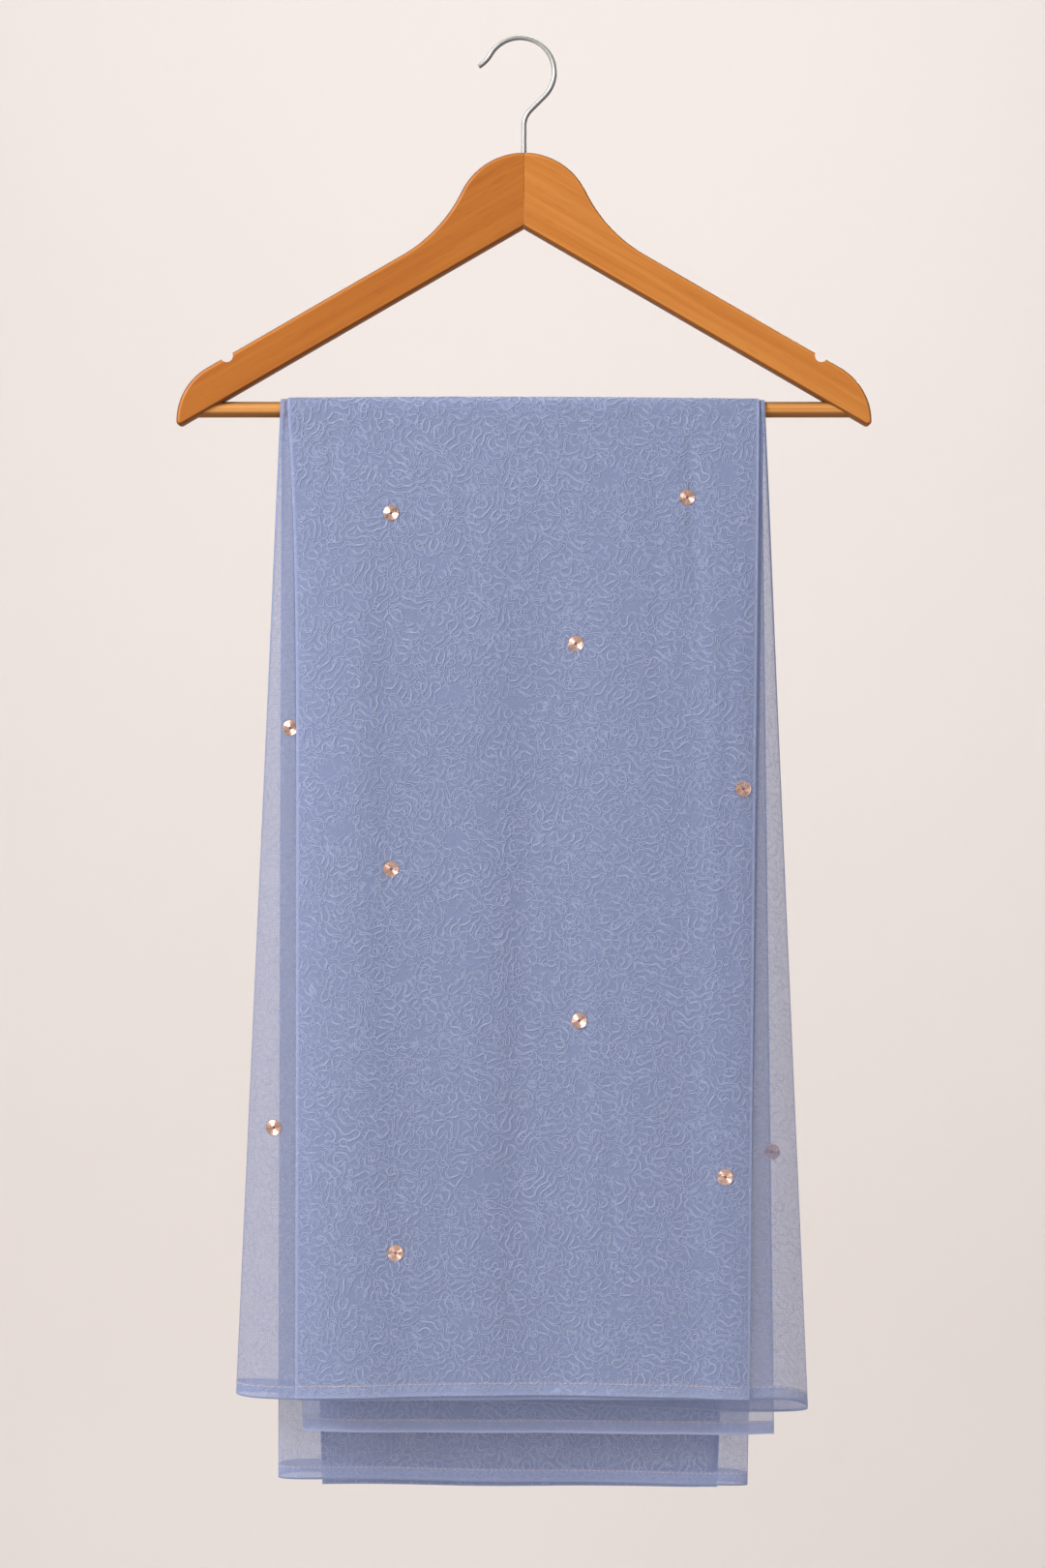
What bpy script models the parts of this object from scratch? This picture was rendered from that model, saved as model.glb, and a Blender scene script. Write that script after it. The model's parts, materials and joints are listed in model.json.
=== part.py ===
# Dupatta stole of embroidered net, hung folded over the bar of a wooden hanger.
#
# Metres, +Z up. X runs along the bar, -Y is the front that shows. The origin lies on
# the inner face of the hook, straight above its stem, where a nail or a rail holds it.
#
# The stole is one long cloth with a turned hem. Folded lengthwise it makes three sheets
# that lie on each other over the bar: an inner fold, a loose fold whose two plies stand
# apart like a flat tube, and an outer panel. Each sheet is parted on the crest of the
# bar into the stretch that hangs in front and the stretch that hangs behind.

import math
from collections import namedtuple

import bpy
import bmesh
from mathutils import Vector

MM = 0.001

# The clearance that parts pieces which meet, and the thickness of one wall of cloth.
SEAM = 0.3 * MM
CLOTH_WALL = 1.0 * MM
HEM_WALL = 1.4 * MM
HEM_BAND = 8.6 * MM
HEM_STEP = 0.4 * MM

# Hanger
HALF_SPAN = 220.0 * MM
ARM_THICKNESS = 14.0 * MM
ARM_EDGE_ROUND = 2.5 * MM
CROWN_TOP_Z = -72.1 * MM
CROWN_RADIUS = 44.0 * MM
NECK_RADIUS = 94.0 * MM
TOP_LINE_Z = -92.4 * MM
TOP_LINE_SLOPE = math.radians(30.0)
NOTCH_X = 188.0 * MM
NOTCH_RADIUS = 4.0 * MM
SHOULDER_RADIUS = 39.1 * MM
TIP_Z = -244.6 * MM
TIP_CORNER = 1.2 * MM
APEX_Z = -119.4 * MM

BAR_Z = -234.3 * MM
BAR_RADIUS = 5.0 * MM
BAR_END_X = 211.0 * MM
BAR_SIDES = 24
SOCKET_MOUTH_X = 180.0 * MM
GROOVE_TOP_Z = -60.0 * MM

WIRE_RADIUS = 1.6 * MM
HOOK_RADIUS = 21.8 * MM
HOOK_CENTRE_X = -2.45 * MM
HOOK_ARC_START = math.radians(-45.0)
HOOK_ARC_END = math.radians(150.0)
HOOK_BEND_RADIUS = 8.0 * MM
HOOK_TAIL_RADIUS = 20.0 * MM
HOOK_TAIL_TURN = math.radians(30.0)
HOOK_STEM_END_Z = -100.0 * MM
WIRE_SIDES_RESOLUTION = 3

# Steps along the round stretches of the outline and of the wire.
EDGE_ARC_STEPS = 8
NECK_ARC_STEPS = 5
HOOK_ARC_STEPS = 20
HOOK_BEND_STEPS = 4

# Cloth over the bar: the near radius of each sheet, from the bar outwards.
INNER_RADIUS = BAR_RADIUS + SEAM
LOOSE_RADIUS = INNER_RADIUS + CLOTH_WALL + SEAM
# The two plies of the loose fold are pressed into one wall where they cross the bar.
PRESSED_WALL = 1.2 * MM

# The loose fold opens towards its hem. Depth and ripples grow with the fall below
# the bar, measured in units of this length.
FALL_UNIT = 620.0 * MM
SHEET_SLACK = 0.3 * MM
RIPPLES = (
    # height, length, shift
    (1.1 * MM, 172.0 * MM, 0.6),
    (0.6 * MM, 113.0 * MM, 2.3),
)

FRONT = -1
BACK = 1
FOLD_DEPTH = {FRONT: 20.8 * MM, BACK: 16.8 * MM}
# How far the rounded folds at the two sides of the loose fold reach inwards.
FOLD_REACH_BAR = 3.0 * MM
FOLD_REACH_HEM = {FRONT: 30.0 * MM, BACK: 18.0 * MM}
# The crease of a side fold stands at this share of the depth, from the near ply.
CREASE_SHARE = 0.3
HOLLOW_INSET = 1.2 * MM

# Sections: angles over the bar, shares of the fall to the hem band, steps across.
CREST_STEPS = 4
FALL_SHARES = (0.10, 0.21, 0.33, 0.45, 0.57, 0.69, 0.80, 0.91, 1.0)
SHEET_STEPS = 12
FOLD_STEPS = 5

Sheet = namedtuple(
    "Sheet",
    "name side layer left_bar right_bar left_hem right_hem left_ease "
    "hem_left hem_middle hem_right",
)
# Widths and hem heights in millimetres. left_ease above 1 makes the left edge run in
# soon below the bar and then hang straight.
SHEETS = (
    Sheet("panel_front", FRONT, "outer", -149.5, 148.9, -143.3, 141.3, 8, -856.4, -854.0, -857.0),
    Sheet("panel_back", BACK, "outer", -149.5, 148.9, -129.4, 124.0, 1, -920.5, -921.8, -922.2),
    Sheet("inner_front", FRONT, "inner", -147.0, 150.5, -140.1, 158.6, 1, -880.4, -881.9, -883.3),
    Sheet("inner_back", BACK, "inner", -147.0, 150.5, -142.0, 138.0, 1, -850.0, -851.0, -852.0),
)

LooseFold = namedtuple(
    "LooseFold",
    "name side left_bar right_bar left_hem right_hem "
    "near_left near_right far_left far_right",
)
# near_ and far_ are the hem heights of the ply next to the bar and of the other one.
LOOSE_FOLDS = (
    LooseFold("loose_front", FRONT, -154.1, 152.6, -182.0, 179.6, -855.6, -870.0, -857.1, -857.1),
    LooseFold("loose_back", BACK, -154.1, 152.6, -156.5, 142.5, -913.0, -917.6, -911.8, -918.7),
)

Row = namedtuple("Row", "crest_angle fall_share above_hem wall")


def clear_scene():
    for old in list(bpy.data.objects):
        bpy.data.objects.remove(old, do_unlink=True)


def make_material(name, colour, roughness, metallic):
    material = bpy.data.materials.new(name)
    material.use_nodes = True
    shader = material.node_tree.nodes["Principled BSDF"]
    shader.inputs["Base Color"].default_value = (*colour, 1.0)
    shader.inputs["Roughness"].default_value = roughness
    shader.inputs["Metallic"].default_value = metallic
    return material


def add_object(name, mesh, material):
    mesh.materials.append(material)
    piece = bpy.data.objects.new(name, mesh)
    bpy.context.scene.collection.objects.link(piece)
    return piece


def solid_from(name, points, faces, material, sharp_angle=50.0):
    """One closed solid from its points and faces, with its faces turned outwards."""
    work = bmesh.new()
    corners = [work.verts.new(point) for point in points]
    for face in faces:
        work.faces.new([corners[index] for index in face])
    bmesh.ops.recalc_face_normals(work, faces=work.faces)
    mesh = bpy.data.meshes.new(name)
    work.to_mesh(mesh)
    work.free()
    mesh.shade_smooth()
    mesh.set_sharp_from_angle(angle=math.radians(sharp_angle))
    return add_object(name, mesh, material)


def lerp(start, end, share):
    return start + (end - start) * share


def arc_points(centre_x, centre_z, radius, start, end, steps):
    """Points in the XZ plane along an arc, both ends included."""
    points = []
    for step in range(steps + 1):
        angle = lerp(start, end, step / steps)
        points.append((centre_x + radius * math.cos(angle), centre_z + radius * math.sin(angle)))
    return points


# Hanger arms

def arm_outline():
    """The right arm's outline in the XZ plane, from the crown round to the apex.

    The top edge is a crown arc, a hollow neck arc tangent to it, a straight line down
    to the notch, and a shoulder arc that turns the line into the upright tip.
    """
    slope = TOP_LINE_SLOPE
    seam_x = SEAM / 2
    crown_z = CROWN_TOP_Z - CROWN_RADIUS

    # The neck arc touches the crown circle from outside and the top line from above.
    rise = TOP_LINE_Z - crown_z
    constant = rise * rise + 2 * rise * math.cos(slope) * NECK_RADIUS
    constant -= CROWN_RADIUS * CROWN_RADIUS + 2 * CROWN_RADIUS * NECK_RADIUS
    half = rise * math.sin(slope)
    reach = half + math.sqrt(half * half - constant)
    neck_x = reach * math.cos(slope) + NECK_RADIUS * math.sin(slope)
    neck_z = TOP_LINE_Z - reach * math.sin(slope) + NECK_RADIUS * math.cos(slope)
    meet_angle = math.atan2(neck_z - crown_z, neck_x)

    crown = arc_points(0.0, crown_z, CROWN_RADIUS, math.pi / 2, meet_angle, EDGE_ARC_STEPS)
    crown[0] = (seam_x, CROWN_TOP_Z)
    neck_end = 1.5 * math.pi - slope
    neck_start = math.pi + meet_angle
    neck = arc_points(neck_x, neck_z, NECK_RADIUS, neck_start, neck_end, NECK_ARC_STEPS)

    notch_z = TOP_LINE_Z - NOTCH_X * math.tan(slope)
    notch = arc_points(
        NOTCH_X, notch_z, NOTCH_RADIUS, math.pi - slope, 2 * math.pi - slope, EDGE_ARC_STEPS
    )

    shoulder_x = HALF_SPAN - SHOULDER_RADIUS
    shoulder_z = TOP_LINE_Z - shoulder_x * math.tan(slope) - SHOULDER_RADIUS / math.cos(slope)
    shoulder = arc_points(
        shoulder_x, shoulder_z, SHOULDER_RADIUS, math.pi / 2 - slope, 0.0, EDGE_ARC_STEPS
    )
    tip = [(HALF_SPAN, TIP_Z + TIP_CORNER), (HALF_SPAN - TIP_CORNER, TIP_Z)]
    apex = [(seam_x, APEX_Z)]
    return crown + neck[1:] + notch + shoulder + tip + apex


def build_arm(name, mirror, material):
    work = bmesh.new()
    outline = [(mirror * x, z) for x, z in arm_outline()]
    corners = [work.verts.new((x, -ARM_THICKNESS / 2, z)) for x, z in outline]
    face = work.faces.new(corners)
    grown = bmesh.ops.extrude_face_region(work, geom=[face])
    moved = [item for item in grown["geom"] if isinstance(item, bmesh.types.BMVert)]
    bmesh.ops.translate(work, verts=moved, vec=(0.0, ARM_THICKNESS, 0.0))
    bmesh.ops.recalc_face_normals(work, faces=work.faces)

    def on_seam(edge):
        return all(abs(corner.co.x) < SEAM for corner in edge.verts)

    def along_outline(edge):
        start, end = edge.verts
        return abs(start.co.y - end.co.y) < SEAM and not on_seam(edge)

    rims = [edge for edge in work.edges if along_outline(edge)]
    bmesh.ops.bevel(
        work,
        geom=rims,
        offset=ARM_EDGE_ROUND,
        segments=2,
        profile=0.5,
        affect="EDGES",
        clamp_overlap=True,
    )
    mesh = bpy.data.meshes.new(name)
    work.to_mesh(mesh)
    work.free()
    mesh.shade_smooth()
    mesh.set_sharp_from_angle(angle=math.radians(35.0))
    return add_object(name, mesh, material)


def add_cutter(name, radius, length, centre, turn):
    bpy.ops.mesh.primitive_cylinder_add(
        vertices=BAR_SIDES,
        radius=radius,
        depth=length,
        location=centre,
        rotation=turn,
    )
    cutter = bpy.context.object
    cutter.name = name
    cutter.hide_render = True
    cutter.display_type = "WIRE"
    return cutter


def cut_from(piece, cutter):
    cut = piece.modifiers.new(cutter.name, "BOOLEAN")
    cut.operation = "DIFFERENCE"
    cut.solver = "EXACT"
    cut.object = cutter


def build_bar(material):
    bpy.ops.mesh.primitive_cylinder_add(
        vertices=BAR_SIDES,
        radius=BAR_RADIUS,
        depth=2 * BAR_END_X,
        location=(0.0, 0.0, BAR_Z),
        rotation=(0.0, math.pi / 2, 0.0),
    )
    bar = bpy.context.object
    bar.name = "trouser_bar"
    bar.data.materials.append(material)
    bar.data.shade_smooth()
    bar.data.set_sharp_from_angle(angle=math.radians(40.0))
    return bar


def build_hanger(left_wood, right_wood, bar_wood):
    groove_end = HOOK_STEM_END_Z - SEAM
    groove = add_cutter(
        "stem_groove",
        WIRE_RADIUS + SEAM,
        GROOVE_TOP_Z - groove_end,
        (0.0, 0.0, (GROOVE_TOP_Z + groove_end) / 2),
        (0.0, 0.0, 0.0),
    )
    for name, mirror, wood in (("arm_left", -1, left_wood), ("arm_right", 1, right_wood)):
        arm = build_arm(name, mirror, wood)
        socket_end = BAR_END_X + SEAM
        socket = add_cutter(
            name + "_socket",
            BAR_RADIUS + SEAM,
            socket_end - SOCKET_MOUTH_X,
            (mirror * (socket_end + SOCKET_MOUTH_X) / 2, 0.0, BAR_Z),
            (0.0, math.pi / 2, 0.0),
        )
        cut_from(arm, socket)
        cut_from(arm, groove)
    build_bar(bar_wood)


# Hook

def hook_route():
    """The wire's centre line in the XZ plane, from the stem's foot to the free end."""
    centre_z = WIRE_RADIUS - HOOK_RADIUS
    arc = arc_points(
        HOOK_CENTRE_X, centre_z, HOOK_RADIUS, HOOK_ARC_START, HOOK_ARC_END, HOOK_ARC_STEPS
    )

    # The neck leaves the arc along its tangent and meets the upright stem in a bend.
    start_x, start_z = arc[0]
    lean = HOOK_ARC_START + math.pi / 2
    corner_z = start_z - start_x * math.tan(lean)
    trim = HOOK_BEND_RADIUS * math.tan((math.pi / 2 - lean) / 2)
    bend = arc_points(
        HOOK_BEND_RADIUS,
        corner_z - trim,
        HOOK_BEND_RADIUS,
        math.pi,
        math.pi / 2 + lean,
        HOOK_BEND_STEPS,
    )

    # The free end curls the other way, out of the mouth.
    end_x, end_z = arc[-1]
    tail_angle = HOOK_ARC_END - math.pi
    tail = arc_points(
        end_x - HOOK_TAIL_RADIUS * math.cos(tail_angle),
        end_z - HOOK_TAIL_RADIUS * math.sin(tail_angle),
        HOOK_TAIL_RADIUS,
        tail_angle,
        tail_angle - HOOK_TAIL_TURN,
        HOOK_BEND_STEPS,
    )
    return [(0.0, HOOK_STEM_END_Z)] + bend + arc + tail[1:]


def build_hook(material):
    curve = bpy.data.curves.new("hook", "CURVE")
    curve.dimensions = "3D"
    curve.bevel_depth = WIRE_RADIUS
    curve.bevel_resolution = WIRE_SIDES_RESOLUTION
    curve.use_fill_caps = True
    route = hook_route()
    spline = curve.splines.new("POLY")
    spline.points.add(len(route) - 1)
    for point, (x, z) in zip(spline.points, route):
        point.co = (x, 0.0, z, 1.0)
    curve.materials.append(material)
    hook = bpy.data.objects.new("hook", curve)
    bpy.context.scene.collection.objects.link(hook)
    return hook


# Cloth

def sections():
    """The rows of a stretch of cloth, from the crest of the bar down to its hem."""
    rows = []
    for step in range(CREST_STEPS + 1):
        rows.append(Row(math.pi / 2 * step / CREST_STEPS, 0.0, None, CLOTH_WALL))
    for share in FALL_SHARES:
        rows.append(Row(None, share, None, CLOTH_WALL))
    rows.append(Row(None, None, HEM_BAND - HEM_STEP, HEM_WALL))
    rows.append(Row(None, None, 0.0, HEM_WALL))
    return rows


def height_at(row, hem_z):
    if row.above_hem is not None:
        return hem_z + row.above_hem
    return lerp(BAR_Z, hem_z + HEM_BAND, row.fall_share)


def fall_at(row, hem_z):
    """How far below the bar a row lies, in fall units."""
    if row.crest_angle is not None:
        return 0.0
    return (BAR_Z - height_at(row, hem_z)) / FALL_UNIT


def ripple(x, fall):
    """The soft upright ripples that all sheets of one side share."""
    total = 0.0
    for height, length, shift in RIPPLES:
        total += height * math.sin(2 * math.pi * x / length + shift)
    return total * fall


def place(side, x, offset, row, hem_z):
    """A point of the cloth: over the bar by angle, below it by height."""
    if row.crest_angle is not None:
        out = offset * math.sin(row.crest_angle)
        z = BAR_Z + offset * math.cos(row.crest_angle)
    else:
        out = offset + ripple(x, fall_at(row, hem_z))
        z = height_at(row, hem_z)
    return Vector((x, side * (SEAM / 2 + out), z))


def loose_near(fall):
    return LOOSE_RADIUS + SHEET_SLACK * fall


def loose_depth(side, fall):
    return PRESSED_WALL + FOLD_DEPTH[side] * fall


def outer_near(side, fall):
    return loose_near(fall) + loose_depth(side, fall) + SEAM + SHEET_SLACK * fall


def share_down(row, hem_z):
    """0 at the bar, 1 at the hem."""
    if row.crest_angle is not None:
        return 0.0
    return (BAR_Z - height_at(row, hem_z)) / (BAR_Z - hem_z)


def sheet_point(sheet, across, row, far):
    """A point on the near or the far face of a single sheet."""
    bow = sheet.hem_middle - (sheet.hem_left + sheet.hem_right) / 2
    hem_z = lerp(sheet.hem_left, sheet.hem_right, across) + 4 * across * (1 - across) * bow
    hem_z *= MM
    down = share_down(row, hem_z)
    left = lerp(sheet.left_hem, sheet.left_bar, (1 - down) ** sheet.left_ease)
    right = lerp(sheet.right_bar, sheet.right_hem, down)
    x = lerp(left, right, across) * MM
    fall = fall_at(row, hem_z)
    extra = row.wall - CLOTH_WALL
    if sheet.layer == "outer":
        offset = outer_near(sheet.side, fall)
        if far:
            offset += CLOTH_WALL + extra
    else:
        offset = INNER_RADIUS - extra
        if far:
            offset += CLOTH_WALL + extra
    return place(sheet.side, x, offset, row, hem_z)


def build_sheet(sheet, material):
    """A single wall of cloth: a near face, a far face, and the four edges between."""
    rows = sections()
    width = SHEET_STEPS + 1
    points = []
    for far in (False, True):
        for row in rows:
            for step in range(width):
                points.append(sheet_point(sheet, step / SHEET_STEPS, row, far))

    def index(far, row, step):
        return (far * len(rows) + row) * width + step

    faces = []
    for row in range(len(rows) - 1):
        for step in range(SHEET_STEPS):
            for far in (0, 1):
                faces.append((
                    index(far, row, step),
                    index(far, row, step + 1),
                    index(far, row + 1, step + 1),
                    index(far, row + 1, step),
                ))
        for step in (0, SHEET_STEPS):
            faces.append((
                index(0, row, step),
                index(0, row + 1, step),
                index(1, row + 1, step),
                index(1, row, step),
            ))
    for row in (0, len(rows) - 1):
        for step in range(SHEET_STEPS):
            faces.append((
                index(0, row, step),
                index(0, row, step + 1),
                index(1, row, step + 1),
                index(1, row, step),
            ))
    return solid_from(sheet.name, points, faces, material)


def fold_section(left, right, reach, near, depth, far):
    """One ply of the loose fold from its left crease to its right one.

    Gives x and offset pairs: a quarter ellipse, the flat run, and a quarter ellipse.
    Both plies share their first and last point, which are the creases.
    """
    crease = near + CREASE_SHARE * depth
    reach_out = (1 - CREASE_SHARE) * depth if far else -CREASE_SHARE * depth
    ply = []
    for step in range(FOLD_STEPS):
        angle = math.pi / 2 * step / FOLD_STEPS
        x = left + reach * (1 - math.cos(angle))
        ply.append((x, crease + reach_out * math.sin(angle)))
    for step in range(SHEET_STEPS + 1):
        x = lerp(left + reach, right - reach, step / SHEET_STEPS)
        ply.append((x, crease + reach_out))
    for step in range(FOLD_STEPS - 1, -1, -1):
        angle = math.pi / 2 * step / FOLD_STEPS
        x = right - reach * (1 - math.cos(angle))
        ply.append((x, crease + reach_out * math.sin(angle)))
    return ply


def fold_ring(fold, row, wall, far):
    """The points of one ply at one row; wall insets it for the hollow's face."""
    inset = HOLLOW_INSET if wall else 0.0
    middle_hem = (fold.near_left + fold.near_right + fold.far_left + fold.far_right) / 4 * MM
    down = share_down(row, middle_hem)
    fall = fall_at(row, middle_hem)
    left = lerp(fold.left_bar, fold.left_hem, down) * MM
    right = lerp(fold.right_bar, fold.right_hem, down) * MM
    reach = lerp(FOLD_REACH_BAR, FOLD_REACH_HEM[fold.side], down)
    near = loose_near(fall)
    depth = loose_depth(fold.side, fall)
    ply = fold_section(
        left + inset, right - inset, reach - inset, near + wall, depth - 2 * wall, far
    )
    ring = []
    for x, offset in ply:
        across = (x - left) / (right - left)
        outward = (offset - near) / depth
        near_hem = lerp(fold.near_left, fold.near_right, across)
        far_hem = lerp(fold.far_left, fold.far_right, across)
        hem_z = lerp(near_hem, far_hem, outward) * MM
        ring.append(place(fold.side, x, offset, row, hem_z))
    return ring


def build_loose_fold(fold, material):
    """A flat tube, open at the hem and pressed shut where it nears the bar."""
    rows = sections()
    hollow_start = CREST_STEPS + 1
    points = []
    faces = []

    def add_ring(row, wall):
        """A closed loop: out along the far ply and home along the near one."""
        far_ply = fold_ring(fold, row, wall, True)
        near_ply = fold_ring(fold, row, wall, False)
        loop = far_ply + near_ply[-2:0:-1]
        first = len(points)
        points.extend(loop)
        return list(range(first, first + len(loop)))

    def skin(upper, lower):
        count = len(upper)
        for step in range(count):
            after = (step + 1) % count
            faces.append((upper[step], upper[after], lower[after], lower[step]))

    def close(loop):
        """Closes a loop with a strip between its two plies."""
        count = len(loop)
        half = count // 2
        faces.append((loop[0], loop[1], loop[-1]))
        for step in range(1, half - 1):
            faces.append((loop[step], loop[step + 1], loop[count - step - 1], loop[count - step]))
        faces.append((loop[half - 1], loop[half], loop[half + 1]))

    outside = [add_ring(row, 0.0) for row in rows]
    inside = [add_ring(row, row.wall) for row in rows[hollow_start:]]
    for upper, lower in zip(outside, outside[1:]):
        skin(upper, lower)
    for upper, lower in zip(inside, inside[1:]):
        skin(upper, lower)
    skin(outside[-1], inside[-1])
    close(outside[0])
    close(inside[0])
    return solid_from(fold.name, points, faces, material)


def main():
    clear_scene()
    wood_left = make_material("wood_left", (0.47, 0.20, 0.06), 0.38, 0.0)
    wood_right = make_material("wood_right", (0.55, 0.25, 0.08), 0.38, 0.0)
    wood_bar = make_material("wood_bar", (0.58, 0.28, 0.10), 0.35, 0.0)
    steel = make_material("steel", (0.62, 0.61, 0.59), 0.22, 1.0)
    net = make_material("net", (0.30, 0.35, 0.52), 0.75, 0.0)

    build_hanger(wood_left, wood_right, wood_bar)
    build_hook(steel)
    for sheet in SHEETS:
        build_sheet(sheet, net)
    for fold in LOOSE_FOLDS:
        build_loose_fold(fold, net)


main()
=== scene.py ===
# %% [markdown]
# # A net dupatta on a wooden hanger
#
# The real thing is a long stole of sheer net, embroidered all over with a fine wandering
# line in its own colour and dotted with sequins. It is folded lengthwise and hung over
# the bar of a wooden hanger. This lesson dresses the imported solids: the hanger gets finer
# edges and real wood, and the cloth becomes thin plies with turned hems, raised thread,
# stitches and sequins. The first three lines load the frame that everything sits in.

# %% Load the frame
import json
import math
from collections import namedtuple

import bmesh
import bpy
import numpy as np
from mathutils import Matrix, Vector

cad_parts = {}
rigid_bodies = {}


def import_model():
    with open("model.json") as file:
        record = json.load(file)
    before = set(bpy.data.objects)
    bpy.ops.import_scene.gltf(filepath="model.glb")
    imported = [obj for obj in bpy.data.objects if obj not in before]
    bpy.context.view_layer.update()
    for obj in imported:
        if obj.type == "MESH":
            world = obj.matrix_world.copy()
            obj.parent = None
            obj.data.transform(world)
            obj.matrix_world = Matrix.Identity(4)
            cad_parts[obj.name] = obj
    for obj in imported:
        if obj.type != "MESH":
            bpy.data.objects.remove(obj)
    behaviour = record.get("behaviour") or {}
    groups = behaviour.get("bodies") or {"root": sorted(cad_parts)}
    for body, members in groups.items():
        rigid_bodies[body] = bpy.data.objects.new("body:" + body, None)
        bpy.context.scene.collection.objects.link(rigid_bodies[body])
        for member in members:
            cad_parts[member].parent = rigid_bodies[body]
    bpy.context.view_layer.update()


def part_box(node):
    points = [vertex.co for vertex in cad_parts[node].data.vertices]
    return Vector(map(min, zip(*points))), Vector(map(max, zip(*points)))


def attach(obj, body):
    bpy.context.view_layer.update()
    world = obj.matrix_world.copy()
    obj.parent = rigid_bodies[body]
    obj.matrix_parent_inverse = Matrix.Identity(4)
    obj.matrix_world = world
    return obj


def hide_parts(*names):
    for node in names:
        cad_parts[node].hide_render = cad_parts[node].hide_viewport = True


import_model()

MM = 0.001

# %% [markdown]
# ## The photograph's frame
#
# The picture is 1080 by 1620 pixels and one pixel is 0.61367 mm at the hanger. The frame's
# origin, the inner face of the hook, lies at pixel (541.5, 41.5). Keeping these four
# numbers lets the camera, and later each sequin, be placed by where it shows.

# %% Pixels and metres
PHOTO_WIDTH = 1080
PHOTO_HEIGHT = 1620
PIXEL = 0.61367 * MM
ORIGIN_PIXEL = (541.5, 41.5)
CAMERA_DISTANCE = 2.2
SENSOR = 36.0

view_x = (PHOTO_WIDTH / 2 - ORIGIN_PIXEL[0]) * PIXEL
view_z = (ORIGIN_PIXEL[1] - PHOTO_HEIGHT / 2) * PIXEL
print("the view's middle is at x", round(view_x, 4), "z", round(view_z, 4))

# %% [markdown]
# ## Camera
#
# The hanger was photographed straight on, from far enough away that its arms hardly taper.
# A lens of about 80 mm at 2.2 m gives the same calm perspective. The lens length follows
# from the height of the frame, so no number has to be found by trial.

# %% Camera
def new_object(name, data):
    thing = bpy.data.objects.new(name, data)
    bpy.context.scene.collection.objects.link(thing)
    return thing


camera_data = bpy.data.cameras.new("photo_camera")
camera_data.sensor_width = SENSOR
camera_data.lens = SENSOR * CAMERA_DISTANCE / (PHOTO_HEIGHT * PIXEL)
camera = new_object("photo_camera", camera_data)
camera.location = (view_x, -CAMERA_DISTANCE, view_z)
camera.rotation_euler = (math.pi / 2, 0.0, 0.0)
bpy.context.scene.camera = camera
print("lens", round(camera_data.lens, 1), "mm")

# %% [markdown]
# ## Studio
#
# A pale sheet of paper runs down a wall and out over the floor in one soft curve. It is
# swept from a profile and kept well behind the hanger, so the net's sheer edges are seen
# against an even tone and the object can still be walked round. The light is one large
# soft source from the upper left, weaker ones from the right, from below and from behind,
# a wash over the wall, and a pale surrounding.

# %% Backdrop
FLOOR_Z = -2.0
WALL_Y = 4.4
SWEEP_RADIUS = 0.5
FLOOR_FRONT_Y = -18.0
HALF_STAGE = 18.0
WALL_TOP_Z = 5.0
SWEEP_STEPS = 12
PAPER_COLOUR = (0.90, 0.846, 0.817)


def paper_profile():
    profile = [(FLOOR_FRONT_Y, FLOOR_Z)]
    for step in range(SWEEP_STEPS + 1):
        angle = math.pi / 2 * step / SWEEP_STEPS
        y = WALL_Y - SWEEP_RADIUS + SWEEP_RADIUS * math.sin(angle)
        profile.append((y, FLOOR_Z + SWEEP_RADIUS - SWEEP_RADIUS * math.cos(angle)))
    return profile + [(WALL_Y, WALL_TOP_Z)]


def build_paper():
    corners = []
    for y, z in paper_profile():
        corners += [(-HALF_STAGE, y, z), (HALF_STAGE, y, z)]
    strips = [(2 * i, 2 * i + 1, 2 * i + 3, 2 * i + 2) for i in range(len(corners) // 2 - 1)]
    mesh = bpy.data.meshes.new("studio_paper")
    mesh.from_pydata(corners, [], strips)
    mesh.shade_smooth()
    return new_object("studio_paper", mesh)


paper = build_paper()
print("paper strips:", len(paper.data.polygons))

# %% Lights
AIM = Vector((0.0, 0.0, -0.5))


def add_light(name, place, size, power, aim=AIM):
    light = bpy.data.lights.new(name, "AREA")
    light.shape = "DISK"
    light.size = size
    light.energy = power
    lamp = new_object(name, light)
    lamp.location = place
    lamp.rotation_euler = (aim - Vector(place)).to_track_quat("-Z", "Y").to_euler()


add_light("key_light", (-1.9, -1.35, 1.05), 1.3, 72.0)
add_light("right_fill", (2.2, -2.2, -0.2), 0.8, 8.0)
add_light("low_fill", (0.2, -1.8, -1.2), 0.8, 1.5, Vector((0.0, 0.0, -0.9)))
add_light("back_fill", (1.2, 2.2, 0.9), 1.2, 38.0)
add_light("wall_wash", (0.0, 1.0, 2.2), 3.0, 76.0, Vector((0.0, WALL_Y, -1.0)))
print("lights:", sum(o.type == "LIGHT" for o in bpy.data.objects))

# %% [markdown]
# ## Node helpers
#
# Every finish below is a small tree of nodes. A few short helpers keep those trees
# readable. One fills a node's inputs with numbers, or with links from other nodes. One
# adds a node with its settings. The others are the soft step, the sums and the colour
# mixes that nearly every finish uses.

# %% Node helpers
def connect(tree, node, inputs):
    """Fills inputs of a node: a socket is linked, anything else is set on the input."""
    for name, value in inputs.items():
        if isinstance(value, bpy.types.NodeSocket):
            tree.links.new(value, node.inputs[name])
        else:
            node.inputs[name].default_value = value


def add_node(tree, kind, inputs=None, **settings):
    node = tree.nodes.new("ShaderNode" + kind)
    for name, value in settings.items():
        setattr(node, name, value)
    connect(tree, node, inputs or {})
    return node


def soft_step(tree, value, low, high, start=0.0, end=1.0):
    inputs = {"Value": value, "From Min": low, "From Max": high, "To Min": start, "To Max": end}
    return add_node(tree, "MapRange", inputs, interpolation_type="SMOOTHSTEP").outputs["Result"]


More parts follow.
